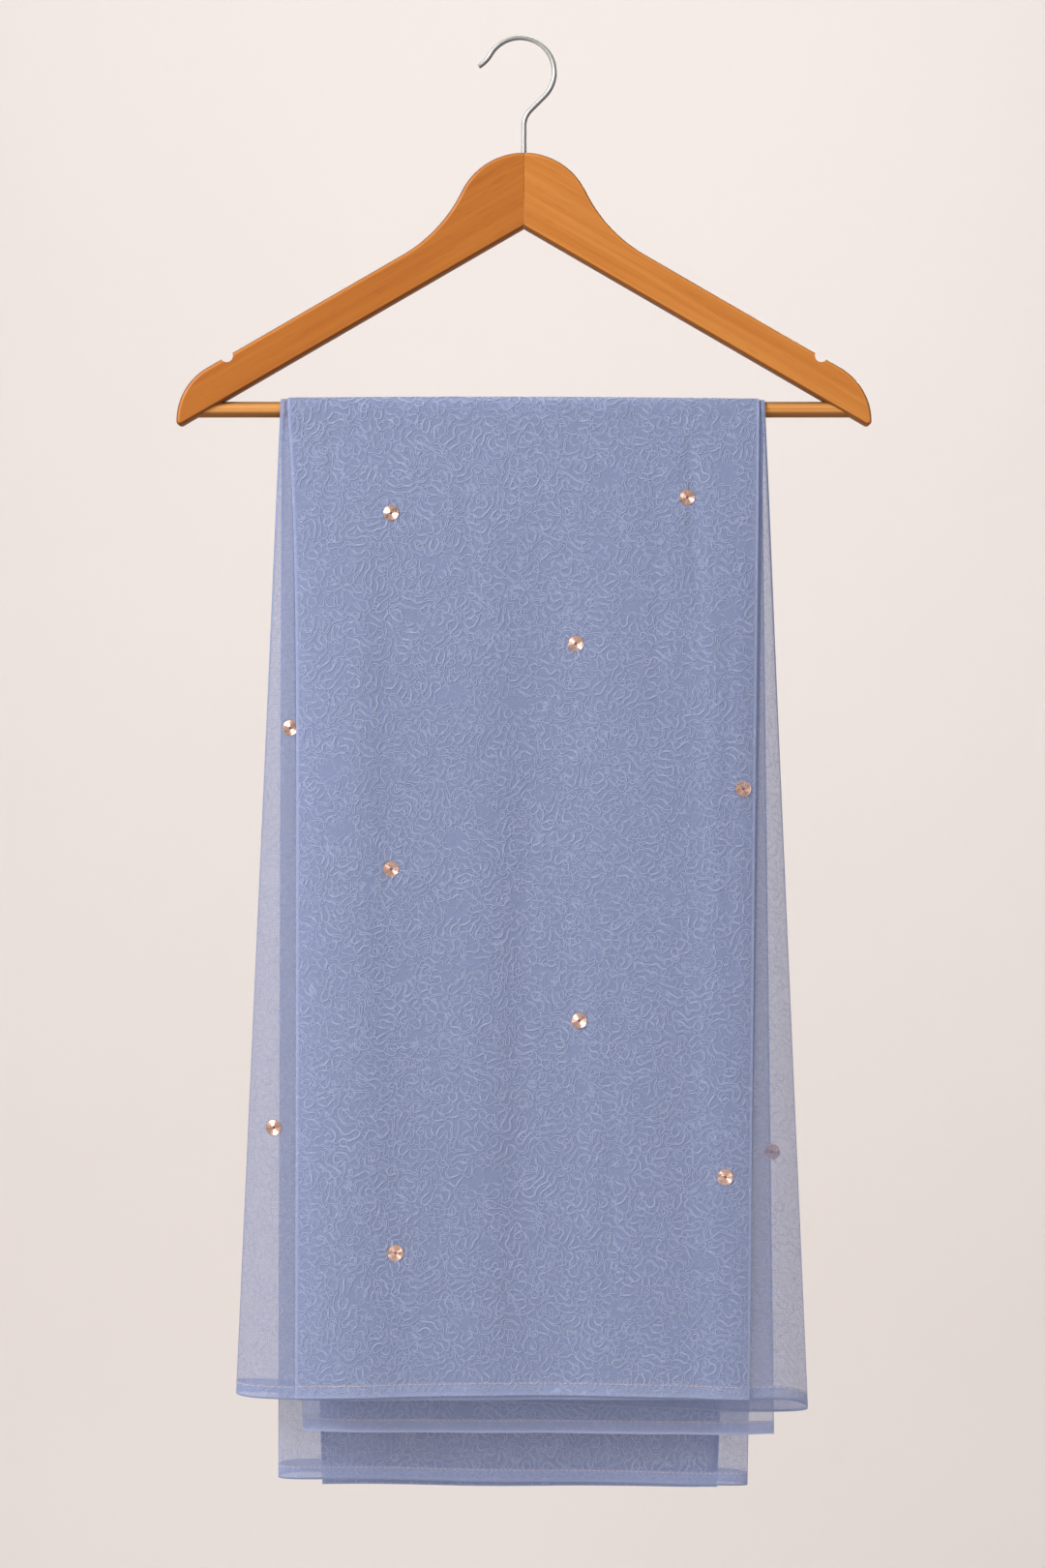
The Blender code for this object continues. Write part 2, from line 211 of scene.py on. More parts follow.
def calculate(tree, operation, first, second=0.0, third=0.0):
    inputs = {0: first, 1: second, 2: third}
    return add_node(tree, "Math", inputs, operation=operation).outputs["Value"]


def mix_colour(tree, share, first, second):
    colours = [c if isinstance(c, bpy.types.NodeSocket) else (*c, 1.0) for c in (first, second)]
    inputs = {0: share, 6: colours[0], 7: colours[1]}
    return add_node(tree, "Mix", inputs, data_type="RGBA").outputs[2]


def scaled(factor, colour):
    return tuple(factor * channel for channel in colour)


# %% Surroundings
# Height of the line of sight, where -1 is straight down and 1 straight up, and its light.
ROOM_TONES = ((-0.6, 0.10), (-0.12, 0.22), (0.0, 0.52), (0.22, 0.46), (0.6, 0.28))
ROOM_COLOUR = (0.96, 0.92, 0.90)

world = bpy.data.worlds.new("pale_room")
world.use_nodes = True
room = world.node_tree
direction = add_node(room, "TexCoord").outputs["Generated"]
upward = add_node(room, "SeparateXYZ", {"Vector": direction}).outputs["Z"]
height = add_node(room, "MapRange", {"Value": upward, "From Min": -1.0}).outputs["Result"]
ramp = add_node(room, "ValToRGB", {"Fac": height})
tones = ramp.color_ramp.elements
while len(tones) < len(ROOM_TONES):
    tones.new(0.5)
for tone, (level, light) in zip(tones, ROOM_TONES):
    tone.position = (level + 1.0) / 2
    tone.color = (*scaled(light, ROOM_COLOUR), 1.0)
connect(room, room.nodes["Background"], {"Color": ramp.outputs["Color"], "Strength": 1.0})
bpy.context.scene.world = world
bpy.context.scene.view_settings.view_transform = "Standard"
bpy.context.scene.cycles.transparent_max_bounces = 32
print("room tones:", len(tones))

# %% [markdown]
# ### The paper's finish
#
# Paper is dull and almost even. A slow noise makes it a touch darker here and there, so
# the backdrop doesn't look like a flat fill.

# %% Paper material
def new_material(name):
    material = bpy.data.materials.new(name)
    material.use_nodes = True
    tree = material.node_tree
    return material, tree, tree.nodes["Principled BSDF"]


def object_space(tree, scale=None, turn=0.0):
    """The piece's own coordinates, turned about Y and stretched where a scale is given."""
    place = add_node(tree, "TexCoord").outputs["Object"]
    if turn:
        place = add_node(tree, "Mapping", {"Vector": place, "Rotation": (0.0, turn, 0.0)}).outputs[0]
    if scale:
        place = add_node(tree, "Mapping", {"Vector": place, "Scale": scale}).outputs[0]
    return place


def noise(tree, place, scale, detail=2.0, distortion=0.0, dimensions="3D"):
    inputs = {"Vector": place, "Scale": scale, "Detail": detail, "Distortion": distortion}
    return add_node(tree, "TexNoise", inputs, noise_dimensions=dimensions).outputs["Fac"]


def paint_paper():
    material, tree, shader = new_material("studio_paper")
    tone = soft_step(tree, noise(tree, object_space(tree), 1.2), 0.3, 0.7)
    colour = mix_colour(tree, tone, scaled(0.985, PAPER_COLOUR), PAPER_COLOUR)
    connect(tree, shader, {"Base Color": colour, "Roughness": 0.9, "Specular IOR Level": 0.1})
    return material


paper.data.materials.append(paint_paper())
print("paper painted")

# %% [markdown]
# ## Wood
#
# The hanger is varnished hardwood. Its grain runs along each arm, so the texture's own
# axes are turned by the arm's slope and stretched: slow along the arm, fast across it.
# Two layers of noise give broad streaks and fine pores, and a thin clear coat gives the
# satin varnish. Light and shade are painted in as well, read from the way the surface
# faces: a painted highlight just inside the rounded edge, painted shade on the rounded
# edges and painted shade on the underside. The left arm is a little darker than the
# right one, as two boards are.

# %% Wood material
ARM_SLOPE = math.radians(30.0)


def add_bump(tree, shader, height, strength, distance, invert=False):
    inputs = {"Height": height, "Strength": strength, "Distance": distance}
    bump = add_node(tree, "Bump", inputs, invert=invert)
    connect(tree, shader, {"Normal": bump.outputs["Normal"]})


def facing_parts(tree):
    """The parts of the surface's direction along X, Y and Z."""
    facing = add_node(tree, "NewGeometry").outputs["Normal"]
    return add_node(tree, "SeparateXYZ", {"Vector": facing}).outputs


def paint_wood(name, dark, light, turn):
    material, tree, shader = new_material(name)
    streaks = noise(tree, object_space(tree, (6.0, 90.0, 210.0), turn), 1.0, 5.0, 0.6)
    pores = noise(tree, object_space(tree, (60.0, 700.0, 1000.0), turn), 1.0)
    pore_mask = soft_step(tree, pores, 0.60, 0.72)
    colour = mix_colour(tree, soft_step(tree, streaks, 0.25, 0.75), dark, light)
    colour = mix_colour(tree, calculate(tree, "MULTIPLY", pore_mask, 0.30), colour, scaled(0.55, dark))
    # Just inside the rounded edge a painted highlight makes the wood a little lighter.
    parts = facing_parts(tree)
    flatness = calculate(tree, "ABSOLUTE", parts["Y"])
    painted_light_share = calculate(tree, "MULTIPLY", soft_step(tree, flatness, 0.86, 0.94), 0.6)
    painted_light_share = calculate(tree, "MULTIPLY", painted_light_share, soft_step(tree, flatness, 0.985, 0.999, 1.0, 0.0))
    colour = mix_colour(tree, painted_light_share, colour, scaled(1.18, light))
    # Painted shade on the rounded edges.
    painted_edge_shade = soft_step(tree, flatness, 0.50, 0.90, 0.92, 0.0)
    colour = mix_colour(tree, painted_edge_shade, colour, scaled(0.34, dark))
    # Painted shade on the underside, which is also made rougher.
    below = soft_step(tree, parts["Z"], -0.60, -0.15, 1.0, 0.0)
    colour = mix_colour(tree, calculate(tree, "MULTIPLY", below, 0.85), colour, scaled(0.40, dark))
    polish = soft_step(tree, streaks, 0.3, 0.7, 0.46, 0.36)
    connect(tree, shader, {
        "Base Color": colour,
        "Roughness": calculate(tree, "MULTIPLY_ADD", below, 0.4, polish),
        "Specular IOR Level": 0.22,
        "Coat Weight": 0.08,
        "Coat Roughness": 0.3,
    })
    add_bump(tree, shader, pore_mask, 0.25, 0.1 * MM, invert=True)
    return material


wood_left = paint_wood("left_board", (0.46, 0.138, 0.019), (0.55, 0.187, 0.031), ARM_SLOPE)
wood_right = paint_wood("right_board", (0.58, 0.190, 0.030), (0.69, 0.265, 0.055), -ARM_SLOPE)
wood_bar = paint_wood("turned_dowel", (0.62, 0.250, 0.056), (0.74, 0.340, 0.098), 0.0)
print("woods:", wood_left.name, wood_right.name, wood_bar.name)

# %% [markdown]
# ## Arms
#
# A hanger maker cuts each arm from a board along a template and rounds all its edges. The
# packed arms have that outline with short straight facets. Here the same arcs are drawn
# with finer steps. The rounded edge is a row of loops, each one moved in from the outline
# and out towards the face. The strap notch, the bar's socket and the stem's hole are cut
# with a Boolean cutter. The arcs are worked out from their radii, so the arm fits the
# packed one.

# %% Arm outline
SEAM = 0.3 * MM
HALF_SPAN = 220.0 * MM
ARM_THICKNESS = 14.0 * MM
ARM_EDGE_ROUND = 2.5 * MM
CROWN_TOP_Z = -72.1 * MM
CROWN_RADIUS = 44.0 * MM
NECK_RADIUS = 94.0 * MM
TOP_LINE_Z = -92.4 * MM
NOTCH_X = 188.0 * MM
NOTCH_RADIUS = 4.0 * MM
SHOULDER_RADIUS = 39.1 * MM
TIP_Z = -244.6 * MM
TIP_RADIUS = 2.63 * MM
APEX_Z = -119.4 * MM
ARC_STEPS = 20


def arc_points(centre_x, centre_z, radius, start, end, steps):
    angles = np.linspace(start, end, steps + 1)
    return [(centre_x + radius * math.cos(a), centre_z + radius * math.sin(a)) for a in angles]


def neck_centre():
    """The hollow neck arc touches the crown circle from outside and the top line."""
    crown_z = CROWN_TOP_Z - CROWN_RADIUS
    rise = TOP_LINE_Z - crown_z
    constant = rise * rise + 2 * rise * math.cos(ARM_SLOPE) * NECK_RADIUS
    constant -= CROWN_RADIUS * CROWN_RADIUS + 2 * CROWN_RADIUS * NECK_RADIUS
    half = rise * math.sin(ARM_SLOPE)
    reach = half + math.sqrt(half * half - constant)
    x = reach * math.cos(ARM_SLOPE) + NECK_RADIUS * math.sin(ARM_SLOPE)
    z = TOP_LINE_Z - reach * math.sin(ARM_SLOPE) + NECK_RADIUS * math.cos(ARM_SLOPE)
    return x, z, math.atan2(z - crown_z, x)


def arm_outline():
    neck_x, neck_z, meet = neck_centre()
    crown = arc_points(
        0.0, CROWN_TOP_Z - CROWN_RADIUS, CROWN_RADIUS, math.pi / 2, meet, ARC_STEPS
    )
    crown[0] = (SEAM / 2, CROWN_TOP_Z)
    neck = arc_points(
        neck_x, neck_z, NECK_RADIUS, math.pi + meet, 1.5 * math.pi - ARM_SLOPE, ARC_STEPS
    )
    shoulder_x = HALF_SPAN - SHOULDER_RADIUS
    shoulder_z = TOP_LINE_Z - shoulder_x * math.tan(ARM_SLOPE)
    shoulder_z -= SHOULDER_RADIUS / math.cos(ARM_SLOPE)
    shoulder = arc_points(
        shoulder_x, shoulder_z, SHOULDER_RADIUS, math.pi / 2 - ARM_SLOPE, 0.0, ARC_STEPS
    )
    tip_x, tip_z = HALF_SPAN - TIP_RADIUS, TIP_Z + TIP_RADIUS
    tip = arc_points(tip_x, tip_z, TIP_RADIUS, 0.0, -math.pi / 2 - ARM_SLOPE, ARC_STEPS // 2)
    return crown + neck[1:] + shoulder + tip[1:] + [(SEAM / 2, APEX_Z)]


arm_corners = np.array(arm_outline())
print("points on the arm's outline:", len(arm_corners))

# %% Pieces and holes
DRILL_SIDES = 48


def link_piece(name, mesh, *materials):
    for material in materials:
        mesh.materials.append(material)
    return new_object(name, mesh)


def ride_as(piece, slot, *nodes):
    """Puts a piece on the one body and hides the imported parts that it stands for. The slot is not
    used.
    """
    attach(piece, "root")
    if nodes:
        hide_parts(*nodes)
    return piece


def drill(piece, radius, start, end):
    """Bores a round hole between two points and applies the cut."""
    start, end = Vector(start), Vector(end)
    bpy.ops.mesh.primitive_cylinder_add(
        vertices=DRILL_SIDES, radius=radius, depth=(end - start).length, location=(start + end) / 2
    )
    cutter = bpy.context.object
    cutter.rotation_euler = (end - start).to_track_quat("Z", "Y").to_euler()
    cut = piece.modifiers.new("bore", "BOOLEAN")
    cut.object = cutter
    cut.solver = "EXACT"
    bpy.context.view_layer.objects.active = piece
    bpy.ops.object.modifier_apply(modifier=cut.name)
    bpy.data.objects.remove(cutter, do_unlink=True)


print("sides of a drilled hole:", DRILL_SIDES)

# %% Rounded board
ROUND_SEGMENTS = 5
SMOOTH_ANGLE = math.radians(40.0)
# A last loop on the flat face, just past the rounding, keeps the face's shading even.
FACE_LOOP_MOVE = 0.1 * MM


def inward_moves(loop):
    """How each corner moves when the outline shrinks by 1. The seam's corners slide along it."""
    ahead = np.roll(loop, -1, axis=0)
    edges = ahead - loop
    inward = np.stack([edges[:, 1], -edges[:, 0]], -1) / np.linalg.norm(edges, axis=1)[:, None]
    on_seam = (loop[:, 0] < SEAM) & (ahead[:, 0] < SEAM)
    reach = np.where(on_seam, 0.0, 1.0)
    moves = []
    for here in range(len(loop)):
        walls = inward[[here - 1, here]]
        if abs(np.linalg.det(walls)) < 0.001:
            moves.append(walls[1] * reach[here])
        else:
            moves.append(np.linalg.solve(walls, reach[[here - 1, here]]))
    return np.array(moves)


def build_arm(name, mirror, material):
    """Loops round the arm, from the back face over the rounded edge to the front face."""
    moves = inward_moves(arm_corners)
    rim = []
    for angle in np.linspace(0.0, math.pi / 2, ROUND_SEGMENTS + 1):
        out = ARM_THICKNESS / 2 - ARM_EDGE_ROUND * (1 - math.sin(angle))
        rim.append((out, ARM_EDGE_ROUND * (1 - math.cos(angle))))
    rim.append((ARM_THICKNESS / 2, ARM_EDGE_ROUND + FACE_LOOP_MOVE))
    levels = [(out, inset) for out, inset in reversed(rim)] + [(-out, inset) for out, inset in rim]
    work = bmesh.new()
    loops = []
    for y, inset in levels:
        corners = arm_corners + inset * moves
        loops.append([work.verts.new((mirror * x, y, z)) for x, z in corners])
    work.faces.new(loops[0])
    work.faces.new(loops[-1])
    for near, far in zip(loops, loops[1:]):
        for here in range(len(near)):
            work.faces.new((near[here - 1], near[here], far[here], far[here - 1]))
    bmesh.ops.recalc_face_normals(work, faces=work.faces)
    mesh = bpy.data.meshes.new(name)
    work.to_mesh(mesh)
    work.free()
    mesh.shade_smooth()
    mesh.set_sharp_from_angle(angle=SMOOTH_ANGLE)
    return link_piece(name, mesh, material)


print("loops round an arm:", 2 * (ROUND_SEGMENTS + 2))

# %% Bar and arms
bar_low, bar_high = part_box("trouser_bar")
BAR_Z = (bar_low[2] + bar_high[2]) / 2
BAR_RADIUS = (bar_high[2] - bar_low[2]) / 2
BAR_END_X = bar_high[0]
SOCKET_MOUTH_X = 180.0 * MM
WIRE_RADIUS = 1.6 * MM
STEM_END_Z = -100.0 * MM
NOTCH_Z = TOP_LINE_Z - NOTCH_X * math.tan(ARM_SLOPE)
# A drill starts or ends this far outside the wood.
DRILL_PAST = 10.0 * MM

for name, mirror, wood, slot, node in (
    ("left_arm", -1, wood_left, "wood_left", "arm_left"),
    ("right_arm", 1, wood_right, "wood_right", "arm_right"),
):
    arm = build_arm(name, mirror, wood)
    socket_end = mirror * (BAR_END_X + SEAM)
    drill(arm, BAR_RADIUS + SEAM, (mirror * SOCKET_MOUTH_X, 0.0, BAR_Z), (socket_end, 0.0, BAR_Z))
    stem_top = CROWN_TOP_Z + DRILL_PAST
    drill(arm, WIRE_RADIUS + SEAM, (0.0, 0.0, STEM_END_Z - SEAM), (0.0, 0.0, stem_top))
    notch_x = mirror * NOTCH_X
    drill(arm, NOTCH_RADIUS, (notch_x, -DRILL_PAST, NOTCH_Z), (notch_x, DRILL_PAST, NOTCH_Z))
    ride_as(arm, slot, node)
    print(name, len(arm.data.polygons), "faces")

# %% Glue line
# The two arms are glued at the middle, and the joint shows as a thin dark line.
GLUE_THICKNESS = 0.24 * MM
GLUE_INSET = 0.1 * MM


def build_glue_line():
    """A thin slab with its corners cut back, so that it stays inside the rounded edges."""
    low_z, high_z = APEX_Z + GLUE_INSET, CROWN_TOP_Z - GLUE_INSET
    half_y = ARM_THICKNESS / 2 - GLUE_INSET
    cut = ARM_EDGE_ROUND
    side = [(half_y - cut, low_z), (half_y, low_z + cut), (half_y, high_z - cut), (half_y - cut, high_z)]
    outline = side + [(-y, z) for y, z in reversed(side)]
    corners = [(x, y, z) for x in (-GLUE_THICKNESS / 2, GLUE_THICKNESS / 2) for y, z in outline]
    count = len(outline)
    faces = [tuple(reversed(range(count))), tuple(range(count, 2 * count))]
    for here in range(count):
        ahead = (here + 1) % count
        faces.append((here, ahead, ahead + count, here + count))
    mesh = bpy.data.meshes.new("glue_line")
    mesh.from_pydata(corners, [], faces)
    return ride_as(link_piece("glue_line", mesh, wood_left), "wood_left")


build_glue_line()
print("glue line", round(GLUE_THICKNESS / MM, 2), "mm")

# %% [markdown]
# ## Bar
#
# The bar is a plain turned dowel. A cylinder with many sides is enough, but its two end
# edges are broken with a small bevel, as a dowel's are, before it goes into its sockets.

# %% Bar
BAR_SIDES = 64
BAR_BEVEL = 0.6 * MM


def build_bar():
    bpy.ops.mesh.primitive_cylinder_add(
        vertices=BAR_SIDES,
        radius=BAR_RADIUS,
        depth=2 * BAR_END_X,
        location=(0.0, 0.0, 0.0),
        rotation=(0.0, math.pi / 2, 0.0),
    )
    bar = bpy.context.object
    bar.name = "turned_bar"
    bpy.ops.object.transform_apply(location=False, rotation=True, scale=False)
    for corner in bar.data.vertices:
        corner.co.z += BAR_Z
    soft_ends = bar.modifiers.new("soft_ends", "BEVEL")
    soft_ends.width = BAR_BEVEL
    soft_ends.segments = 2
    soft_ends.limit_method = "ANGLE"
    bar.data.materials.append(wood_bar)
    bar.data.shade_smooth()
    bar.data.set_sharp_from_angle(angle=SMOOTH_ANGLE)
    return ride_as(bar, "wood_bar", "trouser_bar")


bar = build_bar()
print("bar", round(2 * BAR_RADIUS / MM, 2), "mm thick")

# %% [markdown]
# ## Hook
#
# The hook is one length of bright steel wire, bent on a former. A curve with a round bevel
# is the natural way to make wire: the path is worked out from three arcs, and the bevel
# gives the thickness. The steel is metallic, with fine marks drawn along its length. Light
# and shade are painted into its colour: bright on its front and back, dark on its sides,
# bright towards the upper left and dark towards the lower right.

# %% Hook
HOOK_RADIUS = 21.8 * MM
HOOK_CENTRE_X = -2.45 * MM
HOOK_ARC_START = math.radians(-45.0)
HOOK_ARC_END = math.radians(150.0)
HOOK_BEND_RADIUS = 14.0 * MM
HOOK_TAIL_RADIUS = 20.0 * MM
HOOK_TAIL_TURN = math.radians(30.0)
# Steps along the stem's bend, the round of the hook and its tail.
HOOK_STEPS = (10, 60, 12)


def hook_route():
    """The wire's middle line, from the stem's lower end to the tip of the tail."""
    bend_steps, arc_steps, tail_steps = HOOK_STEPS
    centre_z = WIRE_RADIUS - HOOK_RADIUS
    arc = arc_points(
        HOOK_CENTRE_X, centre_z, HOOK_RADIUS, HOOK_ARC_START, HOOK_ARC_END, arc_steps
    )
    start_x, start_z = arc[0]
    lean = HOOK_ARC_START + math.pi / 2
    corner_z = start_z - start_x * math.tan(lean)
    trim = HOOK_BEND_RADIUS * math.tan((math.pi / 2 - lean) / 2)
    bend = arc_points(
        HOOK_BEND_RADIUS, corner_z - trim, HOOK_BEND_RADIUS, math.pi, math.pi / 2 + lean, bend_steps
    )
    end_x, end_z = arc[-1]
    tail_angle = HOOK_ARC_END - math.pi
    tail = arc_points(
        end_x - HOOK_TAIL_RADIUS * math.cos(tail_angle),
        end_z - HOOK_TAIL_RADIUS * math.sin(tail_angle),
        HOOK_TAIL_RADIUS,
        tail_angle,
        tail_angle - HOOK_TAIL_TURN,
        tail_steps,
    )
    return [(0.0, STEM_END_Z)] + bend + arc + tail[1:]


def paint_steel():
    material, tree, shader = new_material("drawn_steel")
    marks = noise(tree, object_space(tree, (900.0, 2600.0, 260.0)), 1.0, 3.0)
    bright = mix_colour(
        tree, soft_step(tree, marks, 0.3, 0.7), (0.70, 0.70, 0.69), (0.80, 0.80, 0.79)
    )
    parts = facing_parts(tree)
    # Painted light and shade: the front and back of the wire are painted bright and its sides dark, the
    # upper left bright and the lower right dark, and where it faces the upper left most a little less
    # bright.
    painted_light_share = soft_step(tree, calculate(tree, "ABSOLUTE", parts["Y"]), 0.15, 0.60)
    upper = calculate(tree, "SUBTRACT", parts["Z"], parts["X"])
    lit_side = soft_step(tree, upper, -0.75, 0.05, 0.20, 1.0)
    lit_side = calculate(tree, "MULTIPLY", lit_side, soft_step(tree, upper, 0.1, 0.9, 1.0, 0.55))
    painted_light_share = calculate(tree, "MULTIPLY", painted_light_share, lit_side)
    connect(tree, shader, {
        "Base Color": mix_colour(tree, painted_light_share, (0.06, 0.06, 0.06), bright),
        "Roughness": soft_step(tree, marks, 0.3, 0.7, 0.40, 0.50),
        "Metallic": 1.0,
    })
    return material


def build_hook():
    curve = bpy.data.curves.new("hook_wire", "CURVE")
    curve.dimensions = "3D"
    curve.bevel_depth = WIRE_RADIUS
    curve.bevel_resolution = 8
    curve.use_fill_caps = True
    spline = curve.splines.new("POLY")
    route = hook_route()
    spline.points.add(len(route) - 1)
    for point, (x, z) in zip(spline.points, route):
        point.co = (x, 0.0, z, 1.0)
    return ride_as(link_piece("hook_wire", curve, paint_steel()), "steel", "hook")


hook = build_hook()
print("hook points:", len(hook.data.splines[0].points))

# %% [markdown]
# ## How the cloth hangs
#
# All the cloth is one stole. Folded lengthwise it lies over the bar in three sheets: an
# inner one, a loose fold whose two plies stand apart like a flat tube, and an outer
# panel. A sheet is drawn as a function: give it a place across the cloth and a place
# along its run, and it gives a point in space. The same function then carries the mesh,
# the embroidery, the stitches and the sequins, so nothing on the cloth can float off it.
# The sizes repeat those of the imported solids, and each ply runs inside its solid's wall.

# %% Cloth sizes
FRONT = -1
BACK = 1
FALL_UNIT = 620.0 * MM
FOLD_DEPTH = {FRONT: 20.8 * MM, BACK: 16.8 * MM}
FOLD_REACH_BAR = 3.0 * MM
FOLD_REACH_HEM = {FRONT: 30.0 * MM, BACK: 18.0 * MM}
CREASE_SHARE = 0.3
HEM_BAND = 8.6 * MM

# How far each ply lies from the bar's middle where it crosses the bar.
INNER_OFFSET = BAR_RADIUS + 0.6 * MM
LOOSE_OFFSET = BAR_RADIUS + 1.2 * MM
LOOSE_GAP = 0.6 * MM
OUTER_GAP = 0.75 * MM
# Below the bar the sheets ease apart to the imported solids' clearances.
EASE_APART = {"inner": 0.2 * MM, "loose": 1.3 * MM}
# The loose fold's near ply takes this share of its easing.
NEAR_EASE = 0.35

Stretch = namedtuple(
    "Stretch",
    "side layer left_bar right_bar left_hem right_hem left_ease hem_left hem_middle hem_right",
)
PANEL_FRONT = Stretch(FRONT, "outer", -149.5, 148.9, -143.3, 141.3, 8, -856.4, -854.0, -857.0)
PANEL_BACK = Stretch(BACK, "outer", -149.5, 148.9, -129.4, 124.0, 1, -920.5, -921.8, -922.2)
INNER_FRONT = Stretch(FRONT, "inner", -147.0, 150.5, -140.1, 158.6, 1, -880.4, -881.9, -883.3)
INNER_BACK = Stretch(BACK, "inner", -147.0, 150.5, -142.0, 138.0, 1, -850.0, -851.0, -852.0)

Fold = namedtuple(
    "Fold", "side left_bar right_bar left_hem right_hem near_left near_right far_left far_right"
)
FOLD_FRONT = Fold(FRONT, -154.1, 152.6, -182.0, 179.6, -855.6, -870.0, -857.1, -857.1)
FOLD_BACK = Fold(BACK, -154.1, 152.6, -156.5, 142.5, -913.0, -917.6, -911.8, -918.7)
print("hem heights below the hook:", PANEL_FRONT.hem_middle, "and", PANEL_BACK.hem_middle, "mm")

# %% [markdown]
# ### Soft folds
#
# The panel doesn't hang flat: light and dark bands run down it. Where it is bright it
# turns to the light on the left, and where it is dark it turns away, so the bands were
# read as a height for a few places across the cloth, and a smooth curve joins them. A few
# narrower troughs are laid over that. All plies of one side share the same
# folds, because they hang on each other, and that also keeps them from crossing.

# %% Swells
# Places across the cloth and how far the cloth stands out there, in millimetres.
SWELL_X = (-185, -150, -128, -104, -72, -55, -28, 10, 25, 50, 85, 105, 125, 138, 150, 184)
SWELL_FRONT = (-6.2, -3.3, 0.9, 3.2, 1.2, 0.9, 0.9, -1.7, -1.7, -0.5, -0.4, -0.9, 0.0, -1.2, -4.0, -7.0)
SWELL_BACK = (-4.0, -2.6, -0.6, 1.6, 1.4, 0.2, -1.2, 0.4, 1.6, 2.0, 0.2, -1.3, -0.9, -1.3, -2.2, -4.5)
SWELL_TOP_SHARE = 0.8
SWELL_TOP_FALL = 0.34

print("places on the curve of swells:", len(SWELL_X))

# %% Creases
# Troughs in millimetres: where each starts and ends, how wide and how deep it is.
Crease = namedtuple("Crease", "side x_top z_top x_low z_low width depth")
CREASES = (
    Crease(FRONT, 104.0, -232.0, 111.0, -390.0, 5.0, 0.55),
    Crease(FRONT, 82.0, -236.0, 86.0, -470.0, 6.0, 0.35),
    Crease(FRONT, -90.0, -300.0, -86.0, -700.0, 8.0, 0.45),
    Crease(FRONT, 2.0, -430.0, -6.0, -850.0, 9.0, 0.60),
    Crease(FRONT, -38.0, -240.0, -30.0, -400.0, 6.0, 0.25),
    Crease(FRONT, 60.0, -520.0, 52.0, -840.0, 7.0, 0.35),
    Crease(FRONT, -118.0, -232.0, -124.0, -330.0, 4.0, 0.30),
    Crease(FRONT, 128.0, -330.0, 130.0, -640.0, 5.0, 0.45),
    Crease(BACK, -96.0, -232.0, -88.0, -560.0, 7.0, 0.50),
    Crease(BACK, -40.0, -350.0, -30.0, -900.0, 9.0, 0.60),
    Crease(BACK, 24.0, -236.0, 12.0, -520.0, 6.0, 0.40),
    Crease(BACK, 70.0, -400.0, 62.0, -915.0, 8.0, 0.50),
    Crease(BACK, 112.0, -232.0, 106.0, -480.0, 5.0, 0.45),
)


def lerp(start, end, share):
    return start + (end - start) * share


def smooth(low, high, value):
    share = np.clip((value - low) / (high - low), 0.0, 1.0)
    return share * share * (3.0 - 2.0 * share)


def curve_through(places, heights, x):
    """A smooth curve through given points, with Catmull-Rom slopes."""
    places = np.asarray(places)
    heights = np.asarray(heights)
    slopes = np.gradient(heights, places)
    x = np.clip(x, places[0], places[-1])
    span = np.clip(np.searchsorted(places, x) - 1, 0, len(places) - 2)
    width = places[span + 1] - places[span]
    share = (x - places[span]) / width
    cube = share**3
    square = share**2
    value = (2 * cube - 3 * square + 1) * heights[span]
    value = value + (cube - 2 * square + share) * width * slopes[span]
    value = value + (3 * square - 2 * cube) * heights[span + 1]
    return value + (cube - square) * width * slopes[span + 1]


def trough(crease, x, z):
    down = (z / MM - crease.z_top) / (crease.z_low - crease.z_top)
    middle = lerp(crease.x_top, crease.x_low, down)
    away = (x / MM - middle) / crease.width
    along = smooth(0.0, 0.25, down) * (1.0 - smooth(0.7, 1.0, down))
    return -crease.depth * np.exp(-away * away) * along


print("the deepest crease:", max(crease.depth for crease in CREASES), "mm")

# %% [markdown]
# ### Puckers
#
# Each sequin is sewn down with a few tight stitches, and the soft net gathers in a small
# star round it. The star is a ripple round a circle that fades outwards. It is added to
# the folds, so the mesh itself carries it.

# %% Sequin places
# Pixels in the photograph, for the sequins on the outer panel's front.
PANEL_SEQUINS = (
    (404.0, 530.0), (710.0, 514.0), (595.0, 665.0), (404.0, 898.0), (768.0, 815.0),
    (598.5, 1054.5), (749.5, 1216.0), (408.5, 1294.4),
)
FLARE_SEQUINS = ((300.0, 752.0), (283.0, 1164.8))
SHADED_SEQUINS = ((797.9, 1190.0),)
# On the back, in millimetres, in the same staggered spacing.
BACK_SEQUINS = (
    (-96.0, -318.0), (88.0, -352.0), (-12.0, -420.0), (-104.0, -538.0), (58.0, -560.0),
    (-30.0, -655.0), (96.0, -712.0), (-92.0, -768.0), (18.0, -842.0),
)
# The ripple round a sequin grows over its own radius and fades by its reach.
PUCKER_START = 5.0 * MM
PUCKER_REACH = 8.5 * MM
PUCKER_HEIGHT = 0.28 * MM
PUCKER_STARS = 7


def at_pixel(pixel, y):
    """Where the line of sight through a pixel meets the upright plane at y."""
    grow = (CAMERA_DISTANCE + y) / CAMERA_DISTANCE
    x = view_x + (pixel[0] - PHOTO_WIDTH / 2) * PIXEL * grow
    z = view_z + (PHOTO_HEIGHT / 2 - pixel[1]) * PIXEL * grow
    return x, z


def pucker(centre, x, z, turn):
    away = np.hypot(x - centre[0], z - centre[1])
    around = np.arctan2(z - centre[1], x - centre[0])
    star = np.cos(PUCKER_STARS * around + turn) + 0.5 * np.cos((PUCKER_STARS - 3) * around - turn)
    fade = np.exp(-((away / PUCKER_REACH) ** 2)) * smooth(0.0, PUCKER_START, away)
    return PUCKER_HEIGHT * star * fade / MM


